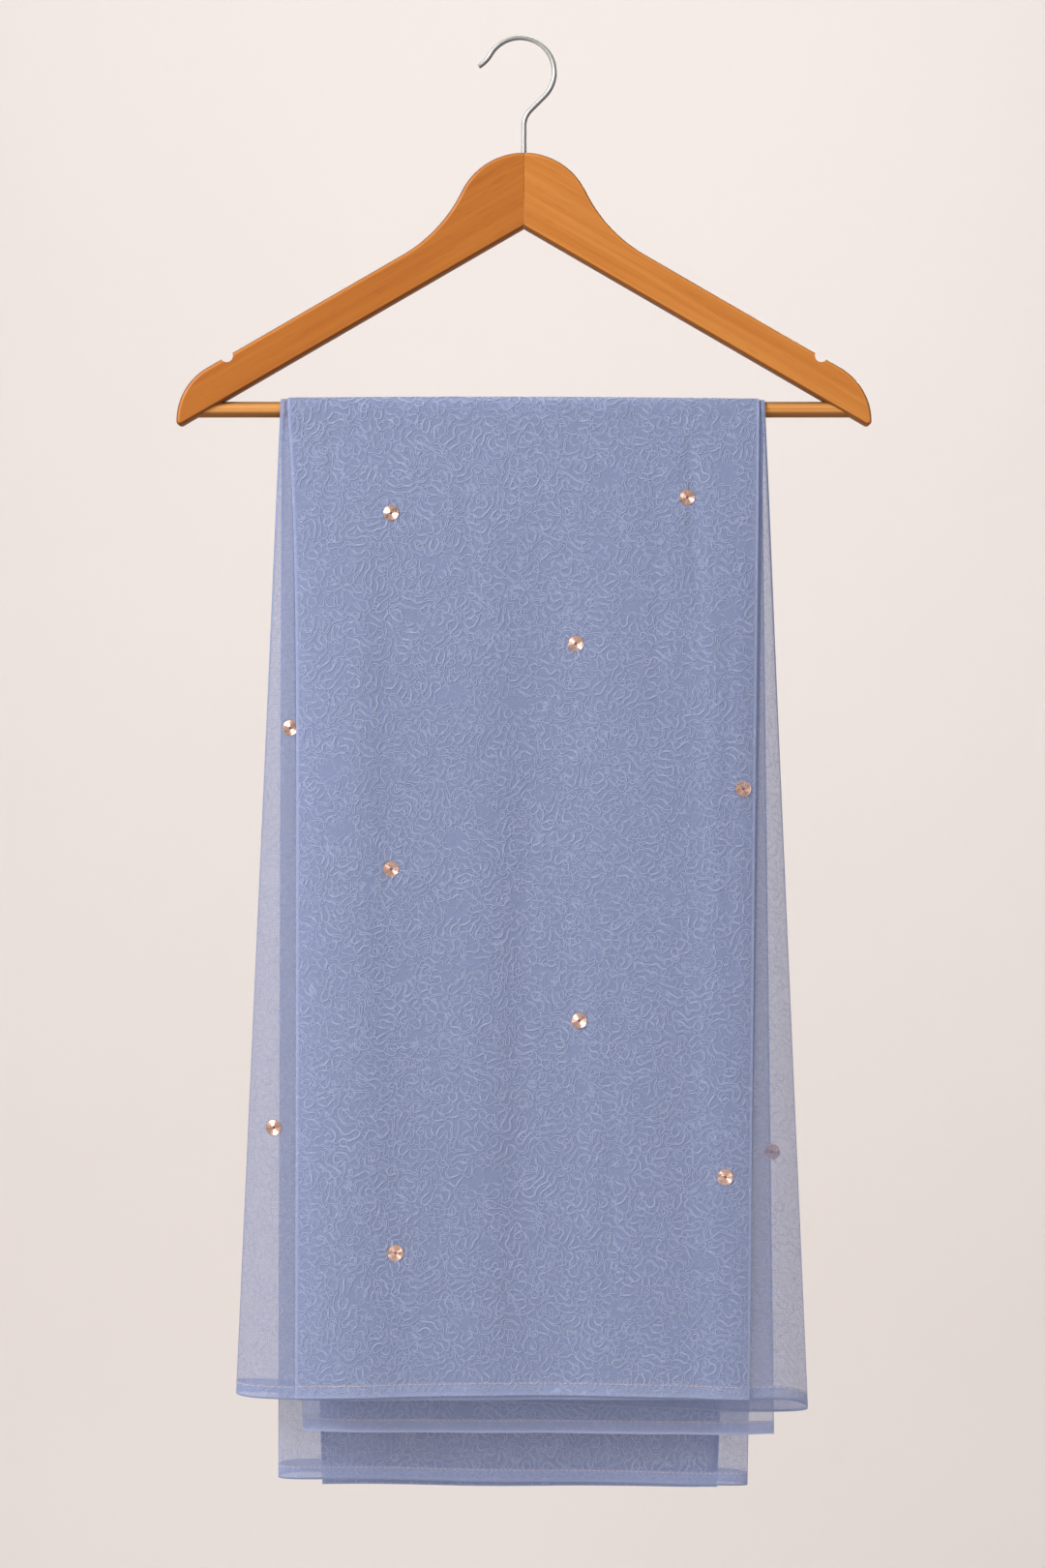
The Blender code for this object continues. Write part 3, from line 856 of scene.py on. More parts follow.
# The panel leans out towards the viewer as it falls from the bar's row of pixels to its hem.
PANEL_DEPTH_TOP = 9.0 * MM
PANEL_DEPTH_LOW = 30.0 * MM
BAR_ROW = 415.0
PANEL_ROWS = 1030.0
pucker_centres = {FRONT: [], BACK: [(x * MM, z * MM) for x, z in BACK_SEQUINS]}
for pixel in PANEL_SEQUINS:
    depth = lerp(PANEL_DEPTH_TOP, PANEL_DEPTH_LOW, (pixel[1] - BAR_ROW) / PANEL_ROWS)
    pucker_centres[FRONT].append(at_pixel(pixel, -depth))


def swell(side, x, z):
    """How far the folds of one side stand out, in metres, growing down from the bar."""
    fall = (BAR_Z - z) / FALL_UNIT
    heights = SWELL_FRONT if side == FRONT else SWELL_BACK
    gain = SWELL_TOP_SHARE * smooth(0.0, SWELL_TOP_FALL, fall)
    gain = gain + (1.0 - SWELL_TOP_SHARE) * fall
    total = curve_through(SWELL_X, heights, x / MM) * gain
    below_bar = smooth(0.0, 0.05, fall)
    for crease in CREASES:
        if crease.side == side:
            total = total + trough(crease, x, z) * below_bar
    for number, centre in enumerate(pucker_centres[side]):
        total = total + pucker(centre, x, z, float(number)) * below_bar
    return total * MM


print("puckers:", sum(len(centres) for centres in pucker_centres.values()))

# %% [markdown]
# ### The three sheets as functions
#
# A run of -1 is the crest of the bar, 0 is level with the bar's middle and 1 is the hem.
# Above 0 the cloth goes round the bar by angle, below it falls by height. Each function
# also takes a small lift off the cloth and a drop past its edge, which is how thread is
# laid on it and how its hems are turned.

# %% Layers over the bar
# The top line bows up in the middle: places across and heights, in millimetres.
CREST_BOW_X = (-160.0, -60.0, 20.0, 160.0)
CREST_BOW = (0.1, 0.75, 0.7, -0.55)
# The sheets ease apart over this share of their fall.
EASE_FALL = 0.12


def loose_depth(side, fall):
    return LOOSE_GAP + FOLD_DEPTH[side] * fall


def outer_offset(side, fall):
    apart = EASE_APART["loose"] * smooth(0.0, EASE_FALL, fall)
    return LOOSE_OFFSET + loose_depth(side, fall) + OUTER_GAP + apart


def drape(side, x, line_z, run, offset, drop=0.0):
    """Points over the bar by angle and below it by height."""
    angle = (np.clip(run, -1.0, 0.0) + 1.0) * math.pi / 2
    bow = curve_through(CREST_BOW_X, CREST_BOW, x / MM) * MM * np.cos(angle)
    z = line_z + drop
    out = offset * np.sin(angle) + swell(side, x, z)
    return np.stack([x, side * out, z + (offset + bow) * np.cos(angle)], axis=-1)


bar_gap = outer_offset(FRONT, 0.0) / MM
print("the outer sheet crosses the bar", round(bar_gap, 2), "mm from its middle")

# %% A single sheet as a function
def sheet_points(stretch, across, run, lift=0.0, slide=0.0, drop=0.0):
    ends = (stretch.hem_left + stretch.hem_right) / 2
    hem_z = lerp(stretch.hem_left, stretch.hem_right, across)
    hem_z = (hem_z + 4 * across * (1 - across) * (stretch.hem_middle - ends)) * MM
    down = np.clip(run, 0.0, 1.0)
    left = lerp(stretch.left_hem, stretch.left_bar, (1 - down) ** stretch.left_ease)
    right = lerp(stretch.right_bar, stretch.right_hem, down)
    x = lerp(left, right, across) * MM + slide
    line_z = lerp(BAR_Z, hem_z, down)
    fall = (BAR_Z - line_z) / FALL_UNIT
    if stretch.layer == "outer":
        offset = outer_offset(stretch.side, fall)
    else:
        offset = INNER_OFFSET + EASE_APART["inner"] * fall
    return drape(stretch.side, x, line_z, run, offset + lift, drop)


hem_middle = sheet_points(PANEL_FRONT, np.array([0.5]), np.array([1.0]))[0]
print("the panel's hem at its middle:", np.round(hem_middle, 4))

# %% The loose fold as a function
def fold_points(fold, far, share, run, lift=0.0, drop=0.0):
    """Points of the loose fold. share runs along one ply from its left crease to its right."""
    middle_hem = (fold.near_left + fold.near_right + fold.far_left + fold.far_right) / 4 * MM
    down = np.clip(run, 0.0, 1.0)
    fall = (BAR_Z - middle_hem) * down / FALL_UNIT
    left = lerp(fold.left_bar, fold.left_hem, down) * MM - lift
    right = lerp(fold.right_bar, fold.right_hem, down) * MM + lift
    reach = lerp(FOLD_REACH_BAR, FOLD_REACH_HEM[fold.side], down) + lift
    near = LOOSE_OFFSET + EASE_APART["loose"] * NEAR_EASE * smooth(0.0, EASE_FALL, fall) - lift
    depth = loose_depth(fold.side, fall) + 2 * lift
    height = np.where(far, (1 - CREASE_SHARE) * depth, -CREASE_SHARE * depth)
    arc = math.pi / 2 * np.sqrt((reach * reach + height * height) / 2)
    flat = right - left - 2 * reach
    travel = share * (2 * arc + flat)
    from_right = 2 * arc + flat - travel
    turn = np.clip(np.minimum(travel, from_right) / arc, 0.0, 1.0) * math.pi / 2
    rounded = reach * (1 - np.cos(turn))
    x = np.where(travel < arc, left + rounded, left + reach + travel - arc)
    x = np.where(from_right < arc, right - rounded, x)
    offset = near + CREASE_SHARE * depth + height * np.sin(turn)
    across = (x - left) / (right - left)
    outward = np.clip((offset - near) / depth, 0.0, 1.0)
    near_hem = lerp(fold.near_left, fold.near_right, across)
    far_hem = lerp(fold.far_left, fold.far_right, across)
    hem_z = lerp(near_hem, far_hem, outward) * MM
    line_z = lerp(BAR_Z, hem_z, down)
    return drape(fold.side, x, line_z, run, offset, drop)


hem_corner = fold_points(FOLD_FRONT, np.array([True]), np.array([0.0]), np.array([1.0]))[0]
print("the loose fold's left crease at its hem:", np.round(hem_corner, 4))

# %% [markdown]
# ## Net
#
# The ground is a fine net: thin threads with more air than thread, so light and the wall
# show through. Modelling every mesh would need millions of faces, so the air is the
# material's alpha. One ply covers about a third of what lies behind it, and it gets
# denser by itself wherever plies lie on each other. The outer panel is several plies
# pressed flat, so it covers nearly all. Fainter embroidery from the plies below shows
# through, and it is drawn here as the level lines of a noise.

# %% Net material
NET_COLOUR = (0.270, 0.325, 0.525)
NET_LIGHT = (0.395, 0.455, 0.690)
NET_CELL = 0.9 * MM
UNDER_LINE_SCALE = 200.0


def paint_net(name, cover, line_cover, line_tint, brightness, relief, fold_cover, tints):
    """tints: how far a fold and a hem band go to the light tone, a painted highlight, and a fold to the
    dark one, a painted shade.
    """
    fold_tint, hem_tint, fold_shade = tints
    material, tree, shader = new_material(name)
    dark = scaled(brightness, NET_COLOUR)
    flat = add_node(tree, "UVMap", uv_map="flat").outputs["UV"]
    inputs = {"Vector": flat, "Scale": 1.0 / NET_CELL, "Randomness": 0.35}
    cells = add_node(
        tree, "TexVoronoi", inputs, voronoi_dimensions="2D", feature="DISTANCE_TO_EDGE"
    ).outputs["Distance"]
    mesh_thread = soft_step(tree, cells, 0.06, 0.26, 1.0, 0.0)
    level = noise(tree, flat, UNDER_LINE_SCALE, 0.6, 0.35, "2D")
    from_level = calculate(tree, "ABSOLUTE", calculate(tree, "SUBTRACT", level, 0.5))
    under_line = soft_step(tree, from_level, 0.012, 0.045, 1.0, 0.0)
    calm = soft_step(tree, noise(tree, flat, 14.0, 3.0, 0.0, "2D"), 0.22, 0.50)
    under_line = calculate(tree, "MULTIPLY", under_line, calm)
    pressed = add_node(tree, "Attribute", attribute_name="pressed").outputs["Fac"]
    hem_share = soft_step(tree, pressed, 0.05, 0.25)
    # The tint adds two patterns, the lines of the plies below and the mesh threads, and a painted
    # highlight on folds and hem bands, where the doubled net is also denser.
    tint = 0.0
    for value, share in (
        (under_line, line_tint), (mesh_thread, 0.20), (pressed, fold_tint), (hem_share, hem_tint)
    ):
        tint = calculate(tree, "MULTIPLY_ADD", value, share, tint)
    colour = mix_colour(tree, tint, dark, scaled(brightness, NET_LIGHT))
    # Painted shade: darker along the crest of the bar, and, by fold_shade, on the creases of the loose
    # fold.
    crest = add_node(tree, "Attribute", attribute_name="crest").outputs["Fac"]
    outline_share = soft_step(tree, pressed, 0.55, 0.95, 0.0, fold_shade)
    for share in (calculate(tree, "MULTIPLY", crest, 0.75), outline_share):
        colour = mix_colour(tree, share, colour, scaled(0.62, dark))
    alpha = cover - 0.04
    for value, share in ((mesh_thread, 0.10), (under_line, line_cover), (pressed, fold_cover)):
        alpha = calculate(tree, "MULTIPLY_ADD", value, share, alpha)
    connect(tree, shader, {
        "Base Color": colour,
        "Alpha": calculate(tree, "MINIMUM", alpha, 1.0),
        "Roughness": 0.62,
        "Specular IOR Level": 0.25,
        "Sheen Weight": 0.18,
        "Sheen Roughness": 0.45,
    })
    thread_height = calculate(tree, "MULTIPLY_ADD", mesh_thread, 0.25, under_line)
    add_bump(tree, shader, thread_height, relief, 0.12 * MM)
    return material


# The three nets are one cloth. The inner sheet and the loose fold are painted lighter than the panel, a
# painted light that lifts the plies hanging in its shade.
net_ply = paint_net("net_ply", 0.37, 0.07, 0.30, 1.10, 0.2, 0.60, (0.0, 0.50, 0.55))
net_inner = paint_net("net_inner", 0.54, 0.07, 0.30, 1.13, 0.3, 0.60, (0.35, 0.60, 0.0))
net_panel = paint_net("net_panel", 0.79, 0.08, 0.55, 1.05, 1.0, 0.50, (0.35, 0.05, 0.0))
print("nets:", net_ply.name, net_inner.name, net_panel.name)

# %% [markdown]
# ## Cloth meshes
#
# A sheet becomes a grid: rows follow its run from the front hem over the bar to the back
# hem, columns go across. Past each end the rows go round a tiny roll and 8.6 mm back up
# the inside, which is how a hem is turned. The panel's side edges are folded the same
# way. A value called pressed marks folded edges and hem bands, where the doubled net is
# denser, and where the finish paints a highlight, or on the loose fold's creases a
# shade. A value called crest marks the top of the bar, where the finish paints shade.
# A UV map in metres keeps the pattern true to the flat cloth.

# %% Rows
HEM_ROLL = 0.30 * MM
ROLL_STEPS = 4
CREST_ROWS = 7
# How far above the hem's fold a row lies, and how pressed the net is there.
HEM_TONES = (
    (HEM_BAND, 0.0), (HEM_BAND - 0.4 * MM, 0.35), (5.6 * MM, 0.30),
    (3.0 * MM, 0.30), (1.4 * MM, 0.45), (0.6 * MM, 1.0),
)
TURNED_ROWS = (1.0 * MM, 3.5 * MM, 6.0 * MM, HEM_BAND - 0.6 * MM)
TURNED_TONE = 0.2

Row = namedtuple("Row", "front run drop inset along pressed")


def painted_crest_shade(run):
    """1 on the crest of the bar, where the net is painted darker as shade, and 0 a little past it."""
    return 1.0 - float(smooth(-0.9, -0.5, run))


def half_rows(front, length, spacing):
    """Rows of one stretch from its crest to the inside end of its turned hem."""
    rows = []
    crest_length = INNER_OFFSET * math.pi / 2
    for step in range(CREST_ROWS):
        run = step / CREST_ROWS - 1.0
        rows.append(Row(front, run, 0.0, 0.0, run * crest_length, 0.0))
    count = int(round((length - HEM_BAND) / spacing))
    band_start = 1.0 - HEM_BAND / length
    for step in range(count):
        run = band_start * step / count
        rows.append(Row(front, run, 0.0, 0.0, run * length, 0.0))
    for away, pressed in HEM_TONES:
        rows.append(Row(front, 1.0 - away / length, 0.0, 0.0, length - away, pressed))
    for step in range(1, ROLL_STEPS + 1):
        angle = math.pi * step / ROLL_STEPS
        drop = -HEM_ROLL * math.sin(angle)
        inset = HEM_ROLL * (1 - math.cos(angle))
        rows.append(Row(front, 1.0, drop, inset, length + step * HEM_ROLL, 1.0))
    for away in TURNED_ROWS:
        along = length + away + 4 * HEM_ROLL
        rows.append(Row(front, 1.0, away, 2 * HEM_ROLL, along, TURNED_TONE))
    return rows


def full_rows(front_length, back_length, spacing):
    front = half_rows(True, front_length, spacing)
    back = half_rows(False, back_length, spacing)
    return front[::-1] + back[1:]


print("rows round a hem:", len(HEM_TONES) + ROLL_STEPS + len(TURNED_ROWS))

# %% Columns
SIDE_ROLL = 0.22 * MM
SIDE_TONE = 0.8
PRESSED_LINE = 1.3 * MM

Column = namedtuple("Column", "across slide inset pressed")


def sheet_columns(width, spacing, side_turn):
    """Columns across a sheet, with its side edges folded under."""
    turned = [(side_turn, 2 * SIDE_ROLL), (0.5 * side_turn, 2 * SIDE_ROLL)]
    for step in range(ROLL_STEPS, 0, -1):
        angle = math.pi * step / ROLL_STEPS
        turned.append((SIDE_ROLL * (1 - math.sin(angle)), SIDE_ROLL * (1 - math.cos(angle))))
    columns = [Column(0.0, slide, inset, SIDE_TONE) for slide, inset in turned]
    for slide, pressed in (
        (SIDE_ROLL, 1.0), (0.5 * PRESSED_LINE, 1.0), (PRESSED_LINE, 0.5), (1.6 * PRESSED_LINE, 0.0)
    ):
        columns.append(Column(0.0, slide, 0.0, pressed))
    count = int(round(width / spacing))
    inner = [Column((step + 1) / (count + 1), 0.0, 0.0, 0.0) for step in range(count)]
    mirrored = [Column(1.0, -c.slide, c.inset, c.pressed) for c in reversed(columns)]
    return columns + inner + mirrored


print("columns at 2.5 mm over 0.298 m:", len(sheet_columns(0.298, 2.5 * MM, 2.6 * MM)))

# %% Grids
def grid_piece(name, points, flat, values, material, closed=False):
    """A mesh from a grid of points, with a UV map in metres and values for the finish."""
    rows, columns = points.shape[:2]
    faces_across = columns if closed else columns - 1
    row = np.repeat(np.arange(rows - 1), faces_across)
    column = np.tile(np.arange(faces_across), rows - 1)
    after = (column + 1) % columns
    corners = np.stack(
        [row * columns + column, row * columns + after,
         (row + 1) * columns + after, (row + 1) * columns + column], axis=-1
    )
    mesh = bpy.data.meshes.new(name)
    mesh.from_pydata(points.reshape(-1, 3).tolist(), [], corners.tolist())
    flat_corners = np.stack(
        [flat[row, column], flat[row, column + 1],
         flat[row + 1, column + 1], flat[row + 1, column]], axis=1
    )
    layer = mesh.uv_layers.new(name="flat")
    layer.data.foreach_set("uv", flat_corners.reshape(-1).astype(np.float32))
    for label, numbers in values.items():
        value = mesh.attributes.new(label, "FLOAT", "POINT")
        value.data.foreach_set("value", numbers.reshape(-1).astype(np.float32))
    mesh.shade_smooth()
    return link_piece(name, mesh, material)


def sweep_rows(name, rows, place_row, material, closed=False):
    """A cloth piece, row by row. place_row gives a row's points, flat places and tone."""
    points, flat, pressed = (np.array(part) for part in zip(*(place_row(row) for row in rows)))
    crest = np.array([np.full(pressed.shape[1], painted_crest_shade(row.run)) for row in rows])
    return grid_piece(name, points, flat, {"pressed": pressed, "crest": crest}, material, closed)


print("crest value on the bar and level with its middle:", painted_crest_shade(-1.0), painted_crest_shade(0.0))

# %% [markdown]
# ### Single sheets
#
# The outer panel and the inner sheet are each one mesh from hem to hem, over the bar. The
# panel shows most, so its grid is the finest.

# %% Build the single sheets
SHEET_WIDTH = 0.298


def build_sheet(name, front, back, spacing, side_turn, side_tone, material):
    """side_turn is how far the side edges are folded under, side_tone how pressed they are."""
    front_length = BAR_Z - front.hem_middle * MM
    back_length = BAR_Z - back.hem_middle * MM
    columns = np.array(sheet_columns(SHEET_WIDTH, spacing, side_turn))
    across, slide, side_inset, side_pressed = columns.T
    ones = np.ones(len(columns))

    def place_row(row):
        stretch = front if row.front else back
        inset = -np.maximum(side_inset, row.inset) - 0.3 * np.minimum(side_inset, row.inset)
        points = sheet_points(stretch, across, row.run * ones, inset, slide, row.drop)
        along = row.along if row.front else -row.along - 2 * INNER_OFFSET
        flat = np.stack([across * SHEET_WIDTH + slide, along * ones], axis=-1)
        return points, flat, np.maximum(side_tone * side_pressed, row.pressed)

    rows = full_rows(front_length, back_length, spacing)
    return sweep_rows(name, rows, place_row, material), front_length, back_length


panel, panel_front_length, panel_back_length = build_sheet(
    "outer_panel", PANEL_FRONT, PANEL_BACK, 2.5 * MM, 2.6 * MM, 1.0, net_panel
)
ride_as(panel, "net", "panel_front", "panel_back")
inner, inner_front_length, inner_back_length = build_sheet(
    "inner_sheet", INNER_FRONT, INNER_BACK, 5.0 * MM, 0.8 * MM, 0.15, net_inner
)
ride_as(inner, "net", "inner_front", "inner_back")
print("panel faces", len(panel.data.polygons), "inner faces", len(inner.data.polygons))

# %% [markdown]
# ### The loose fold
#
# The loose fold is a flat tube. Each row is a closed ring: out along the far ply and home
# along the near one, round a soft fold at each side. Its plies open towards the hem,
# which gives the lens shape seen at the lower corners. The columns are packed closer
# near the folds, where the ring bends.

# %% Build the loose fold
FOLD_WIDTH = 0.330
FOLD_COLUMNS = 66
# The net is pressed up to the first of these shares from a crease, and free past the second.
CREASE_LINE = (0.006, 0.011)


def fold_shares():
    """Places along a ply, closer together near its two creases."""
    even_shares = np.linspace(0.0, 1.0, FOLD_COLUMNS + 1)
    return even_shares - 0.85 * np.sin(2 * math.pi * even_shares) / (2 * math.pi)


def build_fold(name, spacing, material):
    front_length = BAR_Z - FOLD_FRONT.far_left * MM
    back_length = BAR_Z - FOLD_BACK.far_left * MM
    shares = fold_shares()
    ring_share = np.concatenate([shares, shares[-2:0:-1]])
    far = np.arange(len(ring_share)) < len(shares)
    travel = np.append(np.where(far, ring_share, 2.0 - ring_share), 2.0) * FOLD_WIDTH
    crease = 1.0 - smooth(*CREASE_LINE, np.minimum(ring_share, 1.0 - ring_share))

    def place_row(row):
        ply_fold = FOLD_FRONT if row.front else FOLD_BACK
        run = np.full(len(ring_share), row.run)
        points = fold_points(ply_fold, far, ring_share, run, -row.inset, row.drop)
        along = row.along if row.front else -row.along - 2 * LOOSE_OFFSET
        flat = np.stack([travel + 1.0, np.full(len(travel), along)], axis=-1)
        return points, flat, np.maximum(crease, row.pressed)

    rows = full_rows(front_length, back_length, spacing)
    return sweep_rows(name, rows, place_row, material, closed=True), front_length, back_length


fold, fold_front_length, fold_back_length = build_fold("loose_fold", 6.0 * MM, net_ply)
ride_as(fold, "net", "loose_front", "loose_back")
print("loose fold faces", len(fold.data.polygons))

# %% [markdown]
# ## Embroidery
#
# The stole is covered with a wandering line of thread, the old pattern that embroiderers
# call vermicelli. It could be painted, but thread stands up and catches the light, so it
# is laid on as real ribbons. The route comes from a field of random waves of much the same
# length: a line along which that field keeps one value wanders and loops just so, and the
# lines of two such values are sewn. Marching squares finds them cell by cell, a second
# slower field leaves a few calm patches, and small spirals are scattered between. All of
# it is drawn on the flat cloth and then carried onto a sheet.

# %% A field of waves
def wave_field(u, v, shortest, longest, count, seed):
    """A sum of waves of random direction and of a length between two limits."""
    chance = np.random.default_rng(seed)
    total = np.zeros(np.broadcast(u, v).shape)
    for _ in range(count):
        heading = chance.uniform(0.0, 2 * math.pi)
        number = 2 * math.pi / chance.uniform(shortest, longest)
        phase = chance.uniform(0.0, 2 * math.pi)
        total += np.cos(number * (math.cos(heading) * u + math.sin(heading) * v) + phase)
    return total * math.sqrt(2.0 / count)


print("a field's value at one place:", float(wave_field(0.0, 0.0, MM, 2 * MM, 9, 1)))

# %% Lines through the cells of a grid
def crossings(field, us, vs):
    """Points where the field changes sign along the grid's edges, and their numbers."""
    level = field > 0
    flip_u = level[:, :-1] != level[:, 1:]
    flip_v = level[:-1, :] != level[1:, :]
    number_u = np.full(flip_u.shape, -1)
    number_u[flip_u] = np.arange(flip_u.sum())
    number_v = np.full(flip_v.shape, -1)
    number_v[flip_v] = np.arange(flip_v.sum()) + flip_u.sum()
    row, column = np.nonzero(flip_u)
    share = field[row, column] / (field[row, column] - field[row, column + 1])
    on_u = np.stack([lerp(us[column], us[column + 1], share), vs[row]], axis=-1)
    row, column = np.nonzero(flip_v)
    share = field[row, column] / (field[row, column] - field[row + 1, column])
    on_v = np.stack([us[column], lerp(vs[row], vs[row + 1], share)], axis=-1)
    return np.concatenate([on_u, on_v]), number_u, number_v


def cell_links(field, number_u, number_v):
    """Pairs of crossings that one cell joins."""
    sides = np.stack(
        [number_u[:-1, :], number_v[:, 1:], number_u[1:, :], number_v[:, :-1]], axis=-1
    )
    used = (sides >= 0).sum(axis=-1)
    simple = sides[used == 2]
    order = np.argsort(simple < 0, axis=1, kind="stable")[:, :2]
    pairs = [np.take_along_axis(simple, order, axis=1)]
    row, column = np.nonzero(used == 4)
    saddle = sides[row, column]
    centre = field[row, column] + field[row + 1, column + 1]
    centre = centre + field[row, column + 1] + field[row + 1, column]
    joined = (centre > 0) == (field[row, column] > 0)
    pairs.append(np.where(joined[:, None], saddle[:, [0, 1]], saddle[:, [0, 3]]))
    pairs.append(np.where(joined[:, None], saddle[:, [2, 3]], saddle[:, [1, 2]]))
    return np.concatenate(pairs)


test_field = np.array([[-1.0, 1.0], [-1.0, 1.0]])
test_points, *test_numbers = crossings(test_field, np.arange(2.0), np.arange(2.0))
print("one cell cut from side to side:", test_points.tolist(), "joined by",
      cell_links(test_field, *test_numbers).tolist())

# %% Strands
def trace(count, links):
    """Joins linked points into strands, each a list of point numbers in order."""
    neighbours = [[] for _ in range(count)]
    for first, second in links.tolist():
        neighbours[first].append(second)
        neighbours[second].append(first)
    seen = [False] * count
    strands = []
    ends = [i for i in range(count) if len(neighbours[i]) == 1]
    for start in ends + list(range(count)):
        if seen[start] or not neighbours[start]:
            continue
        strand = [start]
        seen[start] = True
        here = start
        while True:
            ahead = [i for i in neighbours[here] if not seen[i]]
            if not ahead:
                break
            here = ahead[0]
            seen[here] = True
            strand.append(here)
        if start in neighbours[here] and len(strand) > 3:
            strand.append(start)
        strands.append(strand)
    return strands


print("two linked pairs give", len(trace(4, np.array([[0, 1], [2, 3]]))), "strands")

# %% Vermicelli on a flat piece
# The shortest wave, the longest one and how many are added up.
LINE_WAVES = (5.5 * MM, 11.6 * MM, 70)
CALM_WAVES = (16.0 * MM, 45.0 * MM, 24)
LINE_LEVELS = (0.42, -0.42)
LINE_STEP = 1.25 * MM
CALM_LEVEL = -1.9
SPIRAL_SPACING = 15.0 * MM


def spirals(width, length, seed):
    chance = np.random.default_rng(seed)
    found = []
    for u in np.arange(0.4, width / SPIRAL_SPACING):
        for v in np.arange(0.4, length / SPIRAL_SPACING):
            shift = chance.uniform(-0.35, 0.35, 2)
            size = chance.uniform(1.8, 4.2) * MM
            turns = chance.uniform(0.9, 1.7)
            start = chance.uniform(0.0, 2 * math.pi)
            handed = chance.choice((-1.0, 1.0))
            angle = np.linspace(0.0, 2 * math.pi * turns, int(20 * turns))
            radius = lerp(0.5 * MM, size, angle / angle[-1])
            centre = np.array([u + shift[0], v + shift[1]]) * SPIRAL_SPACING
            around = start + handed * angle
            found.append(centre + radius[:, None] * np.stack([np.cos(around), np.sin(around)], -1))
    return found


def vermicelli(width, length, seed, step):
    """Strands of the wandering line on a flat rectangle, as points in metres."""
    us = np.arange(0.0, width + step, step)
    vs = np.arange(0.0, length + step, step)
    grid_u, grid_v = np.meshgrid(us, vs)
    field = wave_field(grid_u, grid_v, *LINE_WAVES, seed)
    strands = spirals(width, length, seed + 2)
    for level in LINE_LEVELS:
        points, number_u, number_v = crossings(field - level, us, vs)
        links = cell_links(field - level, number_u, number_v)
        kept = wave_field(points[:, 0], points[:, 1], *CALM_WAVES, seed + 1) > CALM_LEVEL
        links = links[kept[links[:, 0]] & kept[links[:, 1]]]
        strands += [points[s] for s in trace(len(points), links) if len(s) > 5]
    return [even(strand, LINE_STEP) for strand in strands]


def even(strand, spacing):
    """The same strand with its points at an even spacing."""
    along = np.concatenate([[0.0], np.cumsum(np.linalg.norm(np.diff(strand, axis=0), axis=1))])
    count = max(int(round(along[-1] / spacing)), 4)
    places = np.linspace(0.0, along[-1], count + 1)
    return np.stack([np.interp(places, along, strand[:, axis]) for axis in (0, 1)], axis=-1)


print("spirals on a square of 60 mm:", len(spirals(60 * MM, 60 * MM, 1)))

# %% Ribbons of thread
THREAD_WIDTH = 0.45 * MM
THREAD_RISE = 0.30 * MM
THREAD_SINK = 0.02 * MM


def inside(strands, width, length, margin):
    """Cuts strands at the cloth's edges."""
    kept = []
    for strand in strands:
        good = (strand[:, 0] > margin) & (strand[:, 0] < width - margin)
        good &= (strand[:, 1] > margin) & (strand[:, 1] < length - margin)
        breaks = np.nonzero(np.diff(good.astype(int)))[0] + 1
        for part, fine in zip(np.split(strand, breaks), np.split(good, breaks)):
            if fine[0] and len(part) > 3:
                kept.append(part)
    return kept


def ribbon_mesh(name, strands, surface, width, rise):
    """Raised ribbons along strands. surface(u, v, lift) gives points in space."""
    firsts = np.cumsum([0] + [len(s) for s in strands])
    line = np.concatenate(strands)
    ahead = np.concatenate([np.gradient(s, axis=0) for s in strands])
    ahead /= np.maximum(np.linalg.norm(ahead, axis=1), 1e-9)[:, None]
    aside = np.stack([-ahead[:, 1], ahead[:, 0]], axis=-1)
    thin = np.concatenate([taper(len(s)) for s in strands])[:, None]
    left = line + aside * thin * width / 2
    right = line - aside * thin * width / 2
    lift = THREAD_SINK + rise * thin[:, 0] ** 2
    rows = [surface(side[:, 0], side[:, 1], lift) for side in (left, right)]
    count = len(line)
    here = np.concatenate([np.arange(a, b - 1) for a, b in zip(firsts[:-1], firsts[1:])])
    faces = np.stack([here, here + 1, here + 1 + count, here + count], -1)
    mesh = bpy.data.meshes.new(name)
    mesh.from_pydata(np.concatenate(rows).tolist(), [], faces.tolist())
    mesh.shade_smooth()
    return mesh


def taper(count):
    """1 along a strand, less at its two ends."""
    place = np.arange(count)
    from_end = np.minimum(place, count - 1 - place)
    return np.minimum(1.0, 0.25 + 0.4 * from_end)


print("a ribbon's taper:", taper(5))

# %% [markdown]
# ### Thread finishes
#
# The embroidery thread is the net's own blue, a little lighter, with a soft gloss from
# its twist. Seen through loose plies the same thread looks fainter, so the threads of the
# flares and the low bands are partly see-through. The hems are sewn with a fine
# pinkish-gold thread. All get a small bump so that they don't look like plastic.

# %% Thread materials
def paint_thread(name, dark, light, roughness, scale, cover=1.0):
    material, tree, shader = new_material(name)
    fibre = noise(tree, object_space(tree), scale)
    connect(tree, shader, {
        "Base Color": mix_colour(tree, soft_step(tree, fibre, 0.35, 0.65), dark, light),
        "Roughness": roughness,
        "Alpha": cover,
        "Sheen Weight": 0.2,
        "Specular IOR Level": 0.4,
    })
    add_bump(tree, shader, fibre, 0.4, 0.08 * MM)
    return material


THREAD_TONES = ((0.400, 0.457, 0.672), (0.480, 0.538, 0.765))
SHEER_TONES = ((0.300, 0.360, 0.560), (0.360, 0.420, 0.620))
embroidery_thread = paint_thread("embroidery_thread", *THREAD_TONES, 0.48, 2500.0)
sheer_thread = paint_thread("sheer_thread", *SHEER_TONES, 0.48, 2500.0, 0.28)
low_thread = paint_thread("low_thread", *THREAD_TONES, 0.48, 2500.0, 0.70)
hem_thread = paint_thread("hem_thread", (0.66, 0.45, 0.38), (0.90, 0.70, 0.60), 0.38, 3000.0)
print("threads:", embroidery_thread.name, hem_thread.name)

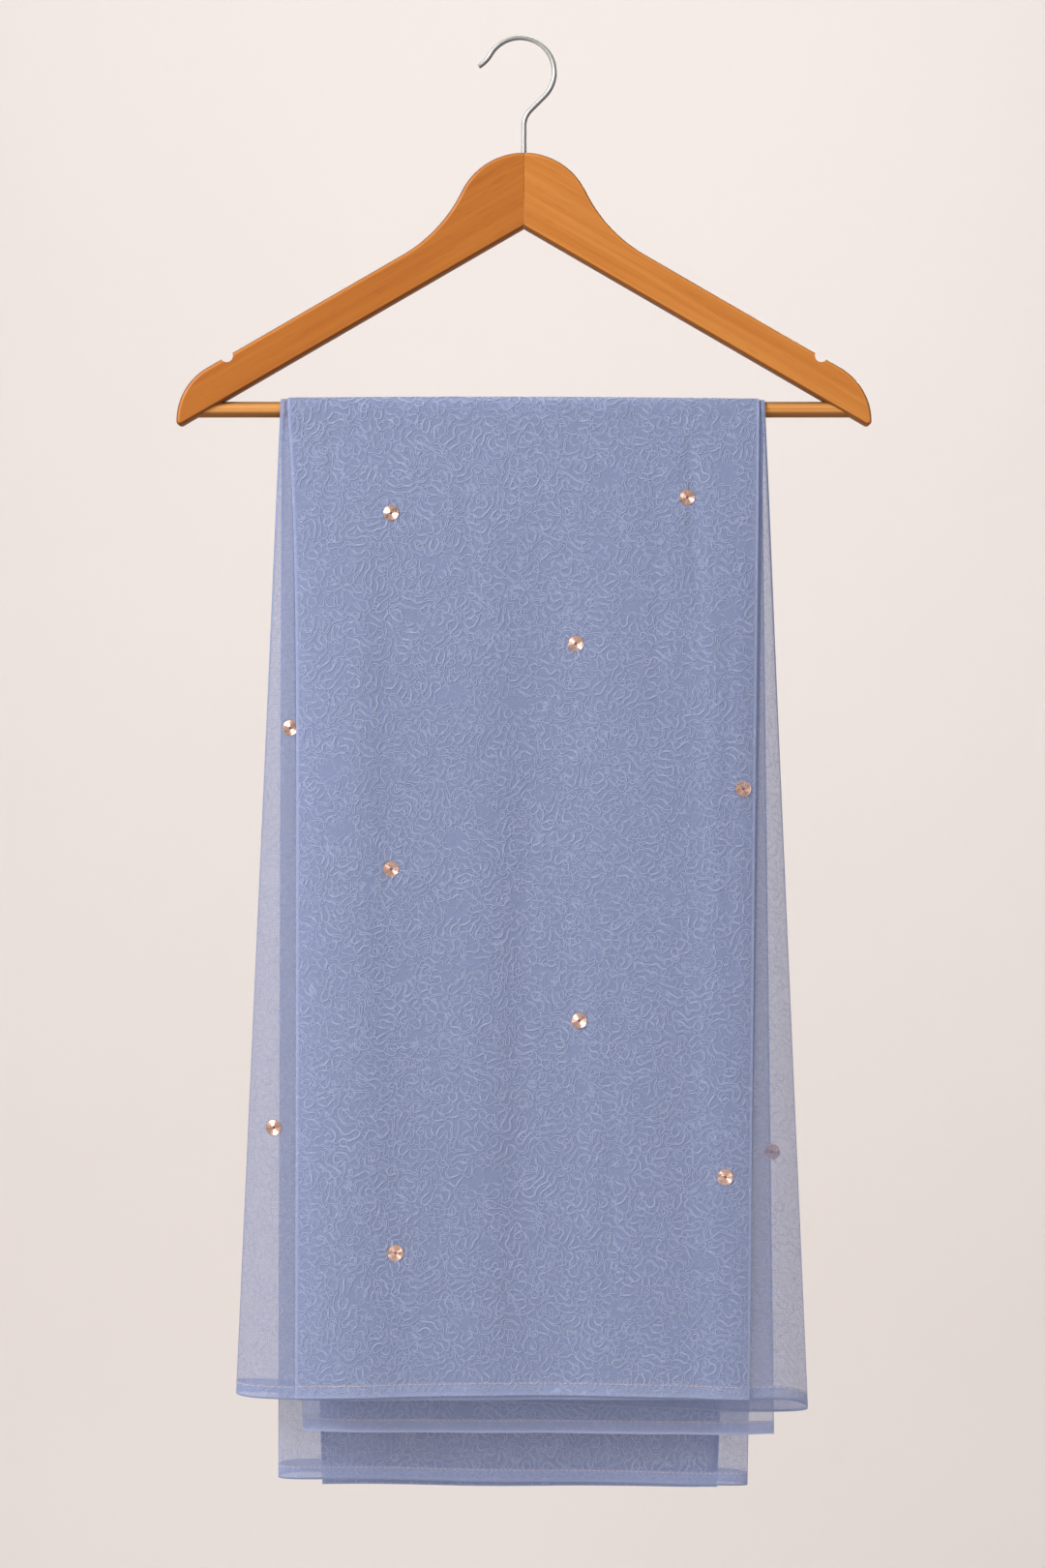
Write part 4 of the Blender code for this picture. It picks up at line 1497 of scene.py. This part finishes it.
# %% [markdown]
# ### Embroider the sheets
#
# The panel is embroidered all over on both sides of the bar. The loose fold and the inner
# sheet only need it where they show past the panel: on the flares and in the low bands.
# The rest of their pattern is the one in the net's material.

# %% Embroidery on the panel
PANEL_WIDTH = 0.290
PANEL_CELL = 0.9 * MM
EDGE_MARGIN = 1.2 * MM


def embroider(name, strands, surface, thread):
    mesh = ribbon_mesh(name, strands, surface, THREAD_WIDTH, THREAD_RISE)
    return ride_as(link_piece(name, mesh, thread), "net")


def on_sheet(stretch, length, width, crest=0.0):
    """A flat place on a sheet, with v running down from the crest of the bar."""
    def surface(u, v, lift):
        below = v - crest
        run = np.where(below < 0, below / max(crest, MM), below / length)
        return sheet_points(stretch, u / width, run, lift)
    return surface


crest_run = outer_offset(FRONT, 0.0) * math.pi / 2
for name, stretch, length, seed in (
    ("panel_thread_front", PANEL_FRONT, panel_front_length, 11),
    ("panel_thread_back", PANEL_BACK, panel_back_length, 23),
):
    strands = vermicelli(PANEL_WIDTH, length + crest_run, seed, PANEL_CELL)
    strands = inside(strands, PANEL_WIDTH, length + crest_run, EDGE_MARGIN)
    surface = on_sheet(stretch, length, PANEL_WIDTH, crest_run)
    piece = embroider(name, strands, surface, embroidery_thread)
    print(name, len(strands), "strands,", 2 * len(piece.data.polygons), "triangles")

# %% Embroidery on the flares and the lower edges
FLARE_WIDTH = 46.0 * MM
FLARE_CELL = 1.0 * MM
LOW_BAND = 62.0 * MM
LOW_SIDE = 30.0 * MM


def on_fold(fold, far, length, start, top):
    """A flat place on one ply of the loose fold, from start along it and top down it."""
    def surface(u, v, lift):
        share = (start + u) / FOLD_WIDTH
        return fold_points(fold, far, share, (top + v) / length, lift)
    return surface


def strands_for(width, length, seed):
    return inside(vermicelli(width, length, seed, FLARE_CELL), width, length, EDGE_MARGIN)


fold_threads = []
for name, stretch, length in (
    ("fold_thread_front", FOLD_FRONT, fold_front_length),
    ("fold_thread_back", FOLD_BACK, fold_back_length),
):
    for number, start in enumerate((0.0, FOLD_WIDTH - FLARE_WIDTH)):
        strands = strands_for(FLARE_WIDTH, length, 31 + number + len(name))
        surface = on_fold(stretch, True, length, start, 0.0)
        side_name = name + ("_left", "_right")[number]
        fold_threads.append(embroider(side_name, strands, surface, sheer_thread))
low_top = fold_back_length - LOW_BAND
low_strands = strands_for(FOLD_WIDTH - 2 * LOW_SIDE, LOW_BAND, 47)
low_surface = on_fold(FOLD_BACK, False, fold_back_length, LOW_SIDE, low_top)
fold_threads.append(embroider("fold_thread_low", low_strands, low_surface, low_thread))
fold_faces = sum(2 * len(piece.data.polygons) for piece in fold_threads)
print("threads on the loose fold:", fold_faces, "triangles")

# %% Embroidery on the inner sheet
inner_low = inner_front_length - LOW_BAND
low_strands = strands_for(SHEET_WIDTH - LOW_SIDE, LOW_BAND, 53)
side_strands = strands_for(FLARE_WIDTH, inner_low, 59)
inner_surface = on_sheet(INNER_FRONT, inner_front_length, SHEET_WIDTH)
inner_threads = []
for name, strands, place, thread in (
    ("inner_thread_low", low_strands, (0.0, inner_low), low_thread),
    ("inner_thread_right", side_strands, (SHEET_WIDTH - FLARE_WIDTH, 0.0), sheer_thread),
):
    moved = [strand + place for strand in strands]
    inner_threads.append(embroider(name, moved, inner_surface, thread))
inner_faces = sum(2 * len(piece.data.polygons) for piece in inner_threads)
print("threads on the inner sheet:", inner_faces, "triangles")

# %% [markdown]
# ## Hem stitches
#
# A machine sews each hem with one straight row, 7.4 mm above its fold. Every stitch dips
# into the net at both ends, so each one is a short ribbon that tapers to the cloth, with
# a small gap to the next. They are laid on the outside of each hem, where they show.

# %% Stitches
STITCH_LENGTH = 2.3 * MM
STITCH_PITCH = 3.2 * MM
STITCH_ABOVE_HEM = 7.4 * MM
STITCH_WIDTH = 0.50 * MM
STITCH_RISE = 0.26 * MM
STITCH_POINTS = 6


def stitch_strands(width, height, seed):
    chance = np.random.default_rng(seed)
    strands = []
    for start in np.arange(2.0 * MM, width - STITCH_PITCH, STITCH_PITCH):
        length = STITCH_LENGTH * chance.uniform(0.9, 1.08)
        u = np.linspace(start, start + length, STITCH_POINTS)
        tilt = chance.uniform(-0.05, 0.05) * MM
        strands.append(np.stack([u, height + np.linspace(-tilt, tilt, STITCH_POINTS)], axis=-1))
    return strands


def sew(name, width, surface, seed):
    strands = stitch_strands(width, STITCH_ABOVE_HEM, seed)
    mesh = ribbon_mesh(name, strands, surface, STITCH_WIDTH, STITCH_RISE)
    return ride_as(link_piece(name, mesh, hem_thread), "stitch")


def hem_of_sheet(stretch):
    def surface(u, height, lift):
        return sheet_points(stretch, u / PANEL_WIDTH, np.ones(len(u)), lift, 0.0, height)
    return surface


def hem_of_fold(fold, far):
    def surface(u, height, lift):
        return fold_points(fold, far, u / FOLD_WIDTH, np.ones(len(u)), lift, height)
    return surface


stitches = []
for name, width, surface in (
    ("panel_front", PANEL_WIDTH, hem_of_sheet(PANEL_FRONT)),
    ("panel_back", PANEL_WIDTH, hem_of_sheet(PANEL_BACK)),
    ("inner_front", PANEL_WIDTH, hem_of_sheet(INNER_FRONT)),
    ("inner_back", PANEL_WIDTH, hem_of_sheet(INNER_BACK)),
    ("fold_front_far", FOLD_WIDTH, hem_of_fold(FOLD_FRONT, True)),
    ("fold_front_near", FOLD_WIDTH, hem_of_fold(FOLD_FRONT, False)),
    ("fold_back_far", FOLD_WIDTH, hem_of_fold(FOLD_BACK, True)),
    ("fold_back_near", FOLD_WIDTH, hem_of_fold(FOLD_BACK, False)),
):
    stitches.append(sew("stitches_" + name, width, surface, 71 + len(stitches)))
print("stitch rows:", len(stitches))

# %% [markdown]
# ## Sequins
#
# Each sequin is a stamped rose-gold disc, 10 mm across, slightly cupped, with fine turned
# rings and a hole in the middle, held by thread. The rings matter: a ringed disc shows a
# bright bow tie towards each light. So the rings are modelled, not only bumped. The disc
# is turned from a profile, set on the cloth and tipped to follow it.

# %% Sequin profile
SEQUIN_RADIUS = 5.0 * MM
SEQUIN_HOLE = 0.75 * MM
SEQUIN_RINGS = 9
RING_RISE = 0.05 * MM
CUP_RISE = 0.12 * MM
SEQUIN_SIDES = 40
KNOT_SIDES = 14
# The small knob of thread that fills the hole, as radius and height.
KNOT_PROFILE = (
    (0.95 * MM, 0.02 * MM), (0.85 * MM, 0.42 * MM), (0.45 * MM, 0.62 * MM), (0.02 * MM, 0.66 * MM)
)


def sequin_profile():
    """Radius and height from the hole's edge over the rings to the rim and back under."""
    profile = [(SEQUIN_HOLE, -0.05 * MM), (SEQUIN_HOLE, 0.16 * MM)]
    steps = SEQUIN_RINGS * 2
    for step in range(1, steps):
        radius = lerp(SEQUIN_HOLE + 0.2 * MM, SEQUIN_RADIUS - 0.15 * MM, step / steps)
        cup = CUP_RISE * (radius / SEQUIN_RADIUS) ** 2
        ring = RING_RISE if step % 2 else -RING_RISE
        profile.append((radius, 0.12 * MM + cup + ring))
    profile.append((SEQUIN_RADIUS, 0.12 * MM + CUP_RISE))
    profile.append((SEQUIN_RADIUS - 0.05 * MM, CUP_RISE - 0.06 * MM))
    return profile


def paint_sequin():
    material, tree, shader = new_material("rose_gold")
    wear = noise(tree, object_space(tree), 900.0)
    tone = soft_step(tree, wear, 0.3, 0.7)
    connect(tree, shader, {
        "Base Color": mix_colour(tree, tone, (0.80, 0.47, 0.36), (0.92, 0.66, 0.55)),
        "Roughness": soft_step(tree, wear, 0.3, 0.7, 0.24, 0.34),
        "Metallic": 1.0,
    })
    return material


rose_gold = paint_sequin()
knot_thread = paint_thread("sequin_thread", (0.22, 0.06, 0.06), (0.34, 0.11, 0.09), 0.5, 3000.0)
print("sequin profile points:", len(sequin_profile()))

# %% A disc on a surface
# How far apart the surface is sampled to find how it faces.
SURFACE_STEP = 3.0 * MM


def turned_disc(work, centre, right, up, out, profile, sides, material_index):
    rings = []
    for radius, height in profile:
        ring = []
        for side in range(sides):
            angle = 2 * math.pi * side / sides
            spot = centre + right * (radius * math.cos(angle)) + up * (radius * math.sin(angle))
            ring.append(work.verts.new(spot + out * height))
        rings.append(ring)
    for lower, upper in zip(rings, rings[1:]):
        for side in range(sides):
            after = (side + 1) % sides
            face = work.faces.new((lower[side], lower[after], upper[after], upper[side]))
            face.material_index = material_index


def place_sequin(work, surface, side, x, z, lift):
    """Sets a disc at x and z on a surface that gives points in space."""
    step = SURFACE_STEP
    right = (Vector(surface(x + step, z)) - Vector(surface(x - step, z))).normalized()
    up = Vector(surface(x, z + step)) - Vector(surface(x, z - step))
    up = (up - right * up.dot(right)).normalized()
    out = right.cross(up) * -side
    spot = Vector(surface(x, z)) + out * lift
    turned_disc(work, spot, right, up, out, sequin_profile(), SEQUIN_SIDES, 0)
    turned_disc(work, spot, right, up, out, KNOT_PROFILE, KNOT_SIDES, 1)


print("faces of one sequin:", SEQUIN_SIDES * (len(sequin_profile()) - 1))

# %% Faces of the cloth
SEQUIN_LIFT = 0.25 * MM
FLARE_LIFT = 0.2 * MM
# Places tried across a ply when its surface is searched for one point.
FLARE_PLACES = 801


def upright_surface(side):
    """The outer sheet's outside on one side of the bar, as a function of x and z."""
    def surface(x, z, lift=0.0):
        fall = (BAR_Z - z) / FALL_UNIT
        out = outer_offset(side, fall) + swell(side, x, z) + lift
        return np.stack([x, side * out, z], axis=-1)
    return surface


def flare_surface(far):
    """One ply of the loose fold in front, where it shows at the panel's left and right."""
    def surface(x, z):
        run = (BAR_Z - z) / fold_front_length
        shares = np.linspace(0.0, 1.0, FLARE_PLACES)
        for _ in range(3):
            points = fold_points(FOLD_FRONT, far, shares, np.full(FLARE_PLACES, run))
            nearest = np.argmin(np.abs(points[:, 0] - x))
            run += (points[nearest, 2] - z) / fold_front_length
        order = np.argsort(points[:, 0])
        y = np.interp(x, points[order, 0], points[order, 1])
        return (x, float(y), float(points[nearest, 2]))
    return surface


def find_on(surface, pixel):
    """Follows the line of sight through a pixel until it meets the surface."""
    y = 0.0
    for _ in range(5):
        x, z = at_pixel(pixel, y)
        y = float(surface(x, z)[1])
    return at_pixel(pixel, y)


def build_sequins():
    work = bmesh.new()
    front = upright_surface(FRONT)
    for pixel in PANEL_SEQUINS:
        place_sequin(work, front, FRONT, *find_on(front, pixel), SEQUIN_LIFT)
    back = upright_surface(BACK)
    for x, z in BACK_SEQUINS:
        place_sequin(work, back, BACK, x * MM, z * MM, SEQUIN_LIFT)
    for pixels, far in ((FLARE_SEQUINS, True), (SHADED_SEQUINS, False)):
        flare = flare_surface(far)
        for pixel in pixels:
            place_sequin(work, flare, FRONT, *find_on(flare, pixel), FLARE_LIFT)
    mesh = bpy.data.meshes.new("sequins")
    work.to_mesh(mesh)
    work.free()
    return ride_as(link_piece("sequins", mesh, rose_gold, knot_thread), "sequin")


sequins = build_sequins()
print("sequin faces:", len(sequins.data.polygons))

# %% [markdown]
# ### Gathered net
#
# The net is drawn tight where a sequin is sewn on, and its threads bunch up in short
# rays. They are laid on as tapering ribbons of the embroidery's colour, each one a bit
# longer or shorter than the next.

# %% Rays round the sequins
RAYS = 11
RAY_START = 5.2 * MM
RAY_END = 9.5 * MM
RAY_POINTS = 6


def ray_strands(centres, seed):
    chance = np.random.default_rng(seed)
    strands = []
    for x, z in centres:
        for ray in range(RAYS):
            angle = 2 * math.pi * (ray + chance.uniform(-0.3, 0.3)) / RAYS
            reach = np.linspace(RAY_START, RAY_END * chance.uniform(0.8, 1.35), RAY_POINTS)
            bend = angle + chance.uniform(-0.12, 0.12) * np.linspace(0.0, 1.0, RAY_POINTS)
            strands.append(np.stack([x + reach * np.cos(bend), z + reach * np.sin(bend)], axis=-1))
    return strands


for name, side, seed in (("rays_front", FRONT, 5), ("rays_back", BACK, 6)):
    strands = ray_strands(pucker_centres[side], seed)
    mesh = ribbon_mesh(name, strands, upright_surface(side), THREAD_WIDTH, THREAD_RISE)
    ride_as(link_piece(name, mesh, embroidery_thread), "net")

# %% [markdown]
# ## What each sheet was cut to
#
# The flat size of each sheet of cloth is worked out from its folded shape. The sizes count the turned
# hems and the run over the bar.

def cut_length(front_length, back_length, offset):
    return round(front_length + back_length + math.pi * offset + 2 * HEM_BAND, 3)


cut_length(panel_front_length, panel_back_length, outer_offset(FRONT, 0.0))
cut_length(inner_front_length, inner_back_length, INNER_OFFSET)
cut_length(fold_front_length, fold_back_length, LOOSE_OFFSET)

# %% [markdown]
#
# The visual model should keep to the imported model's box, give or take the thread on the cloth.

# %% Finish
print("the scene is built")
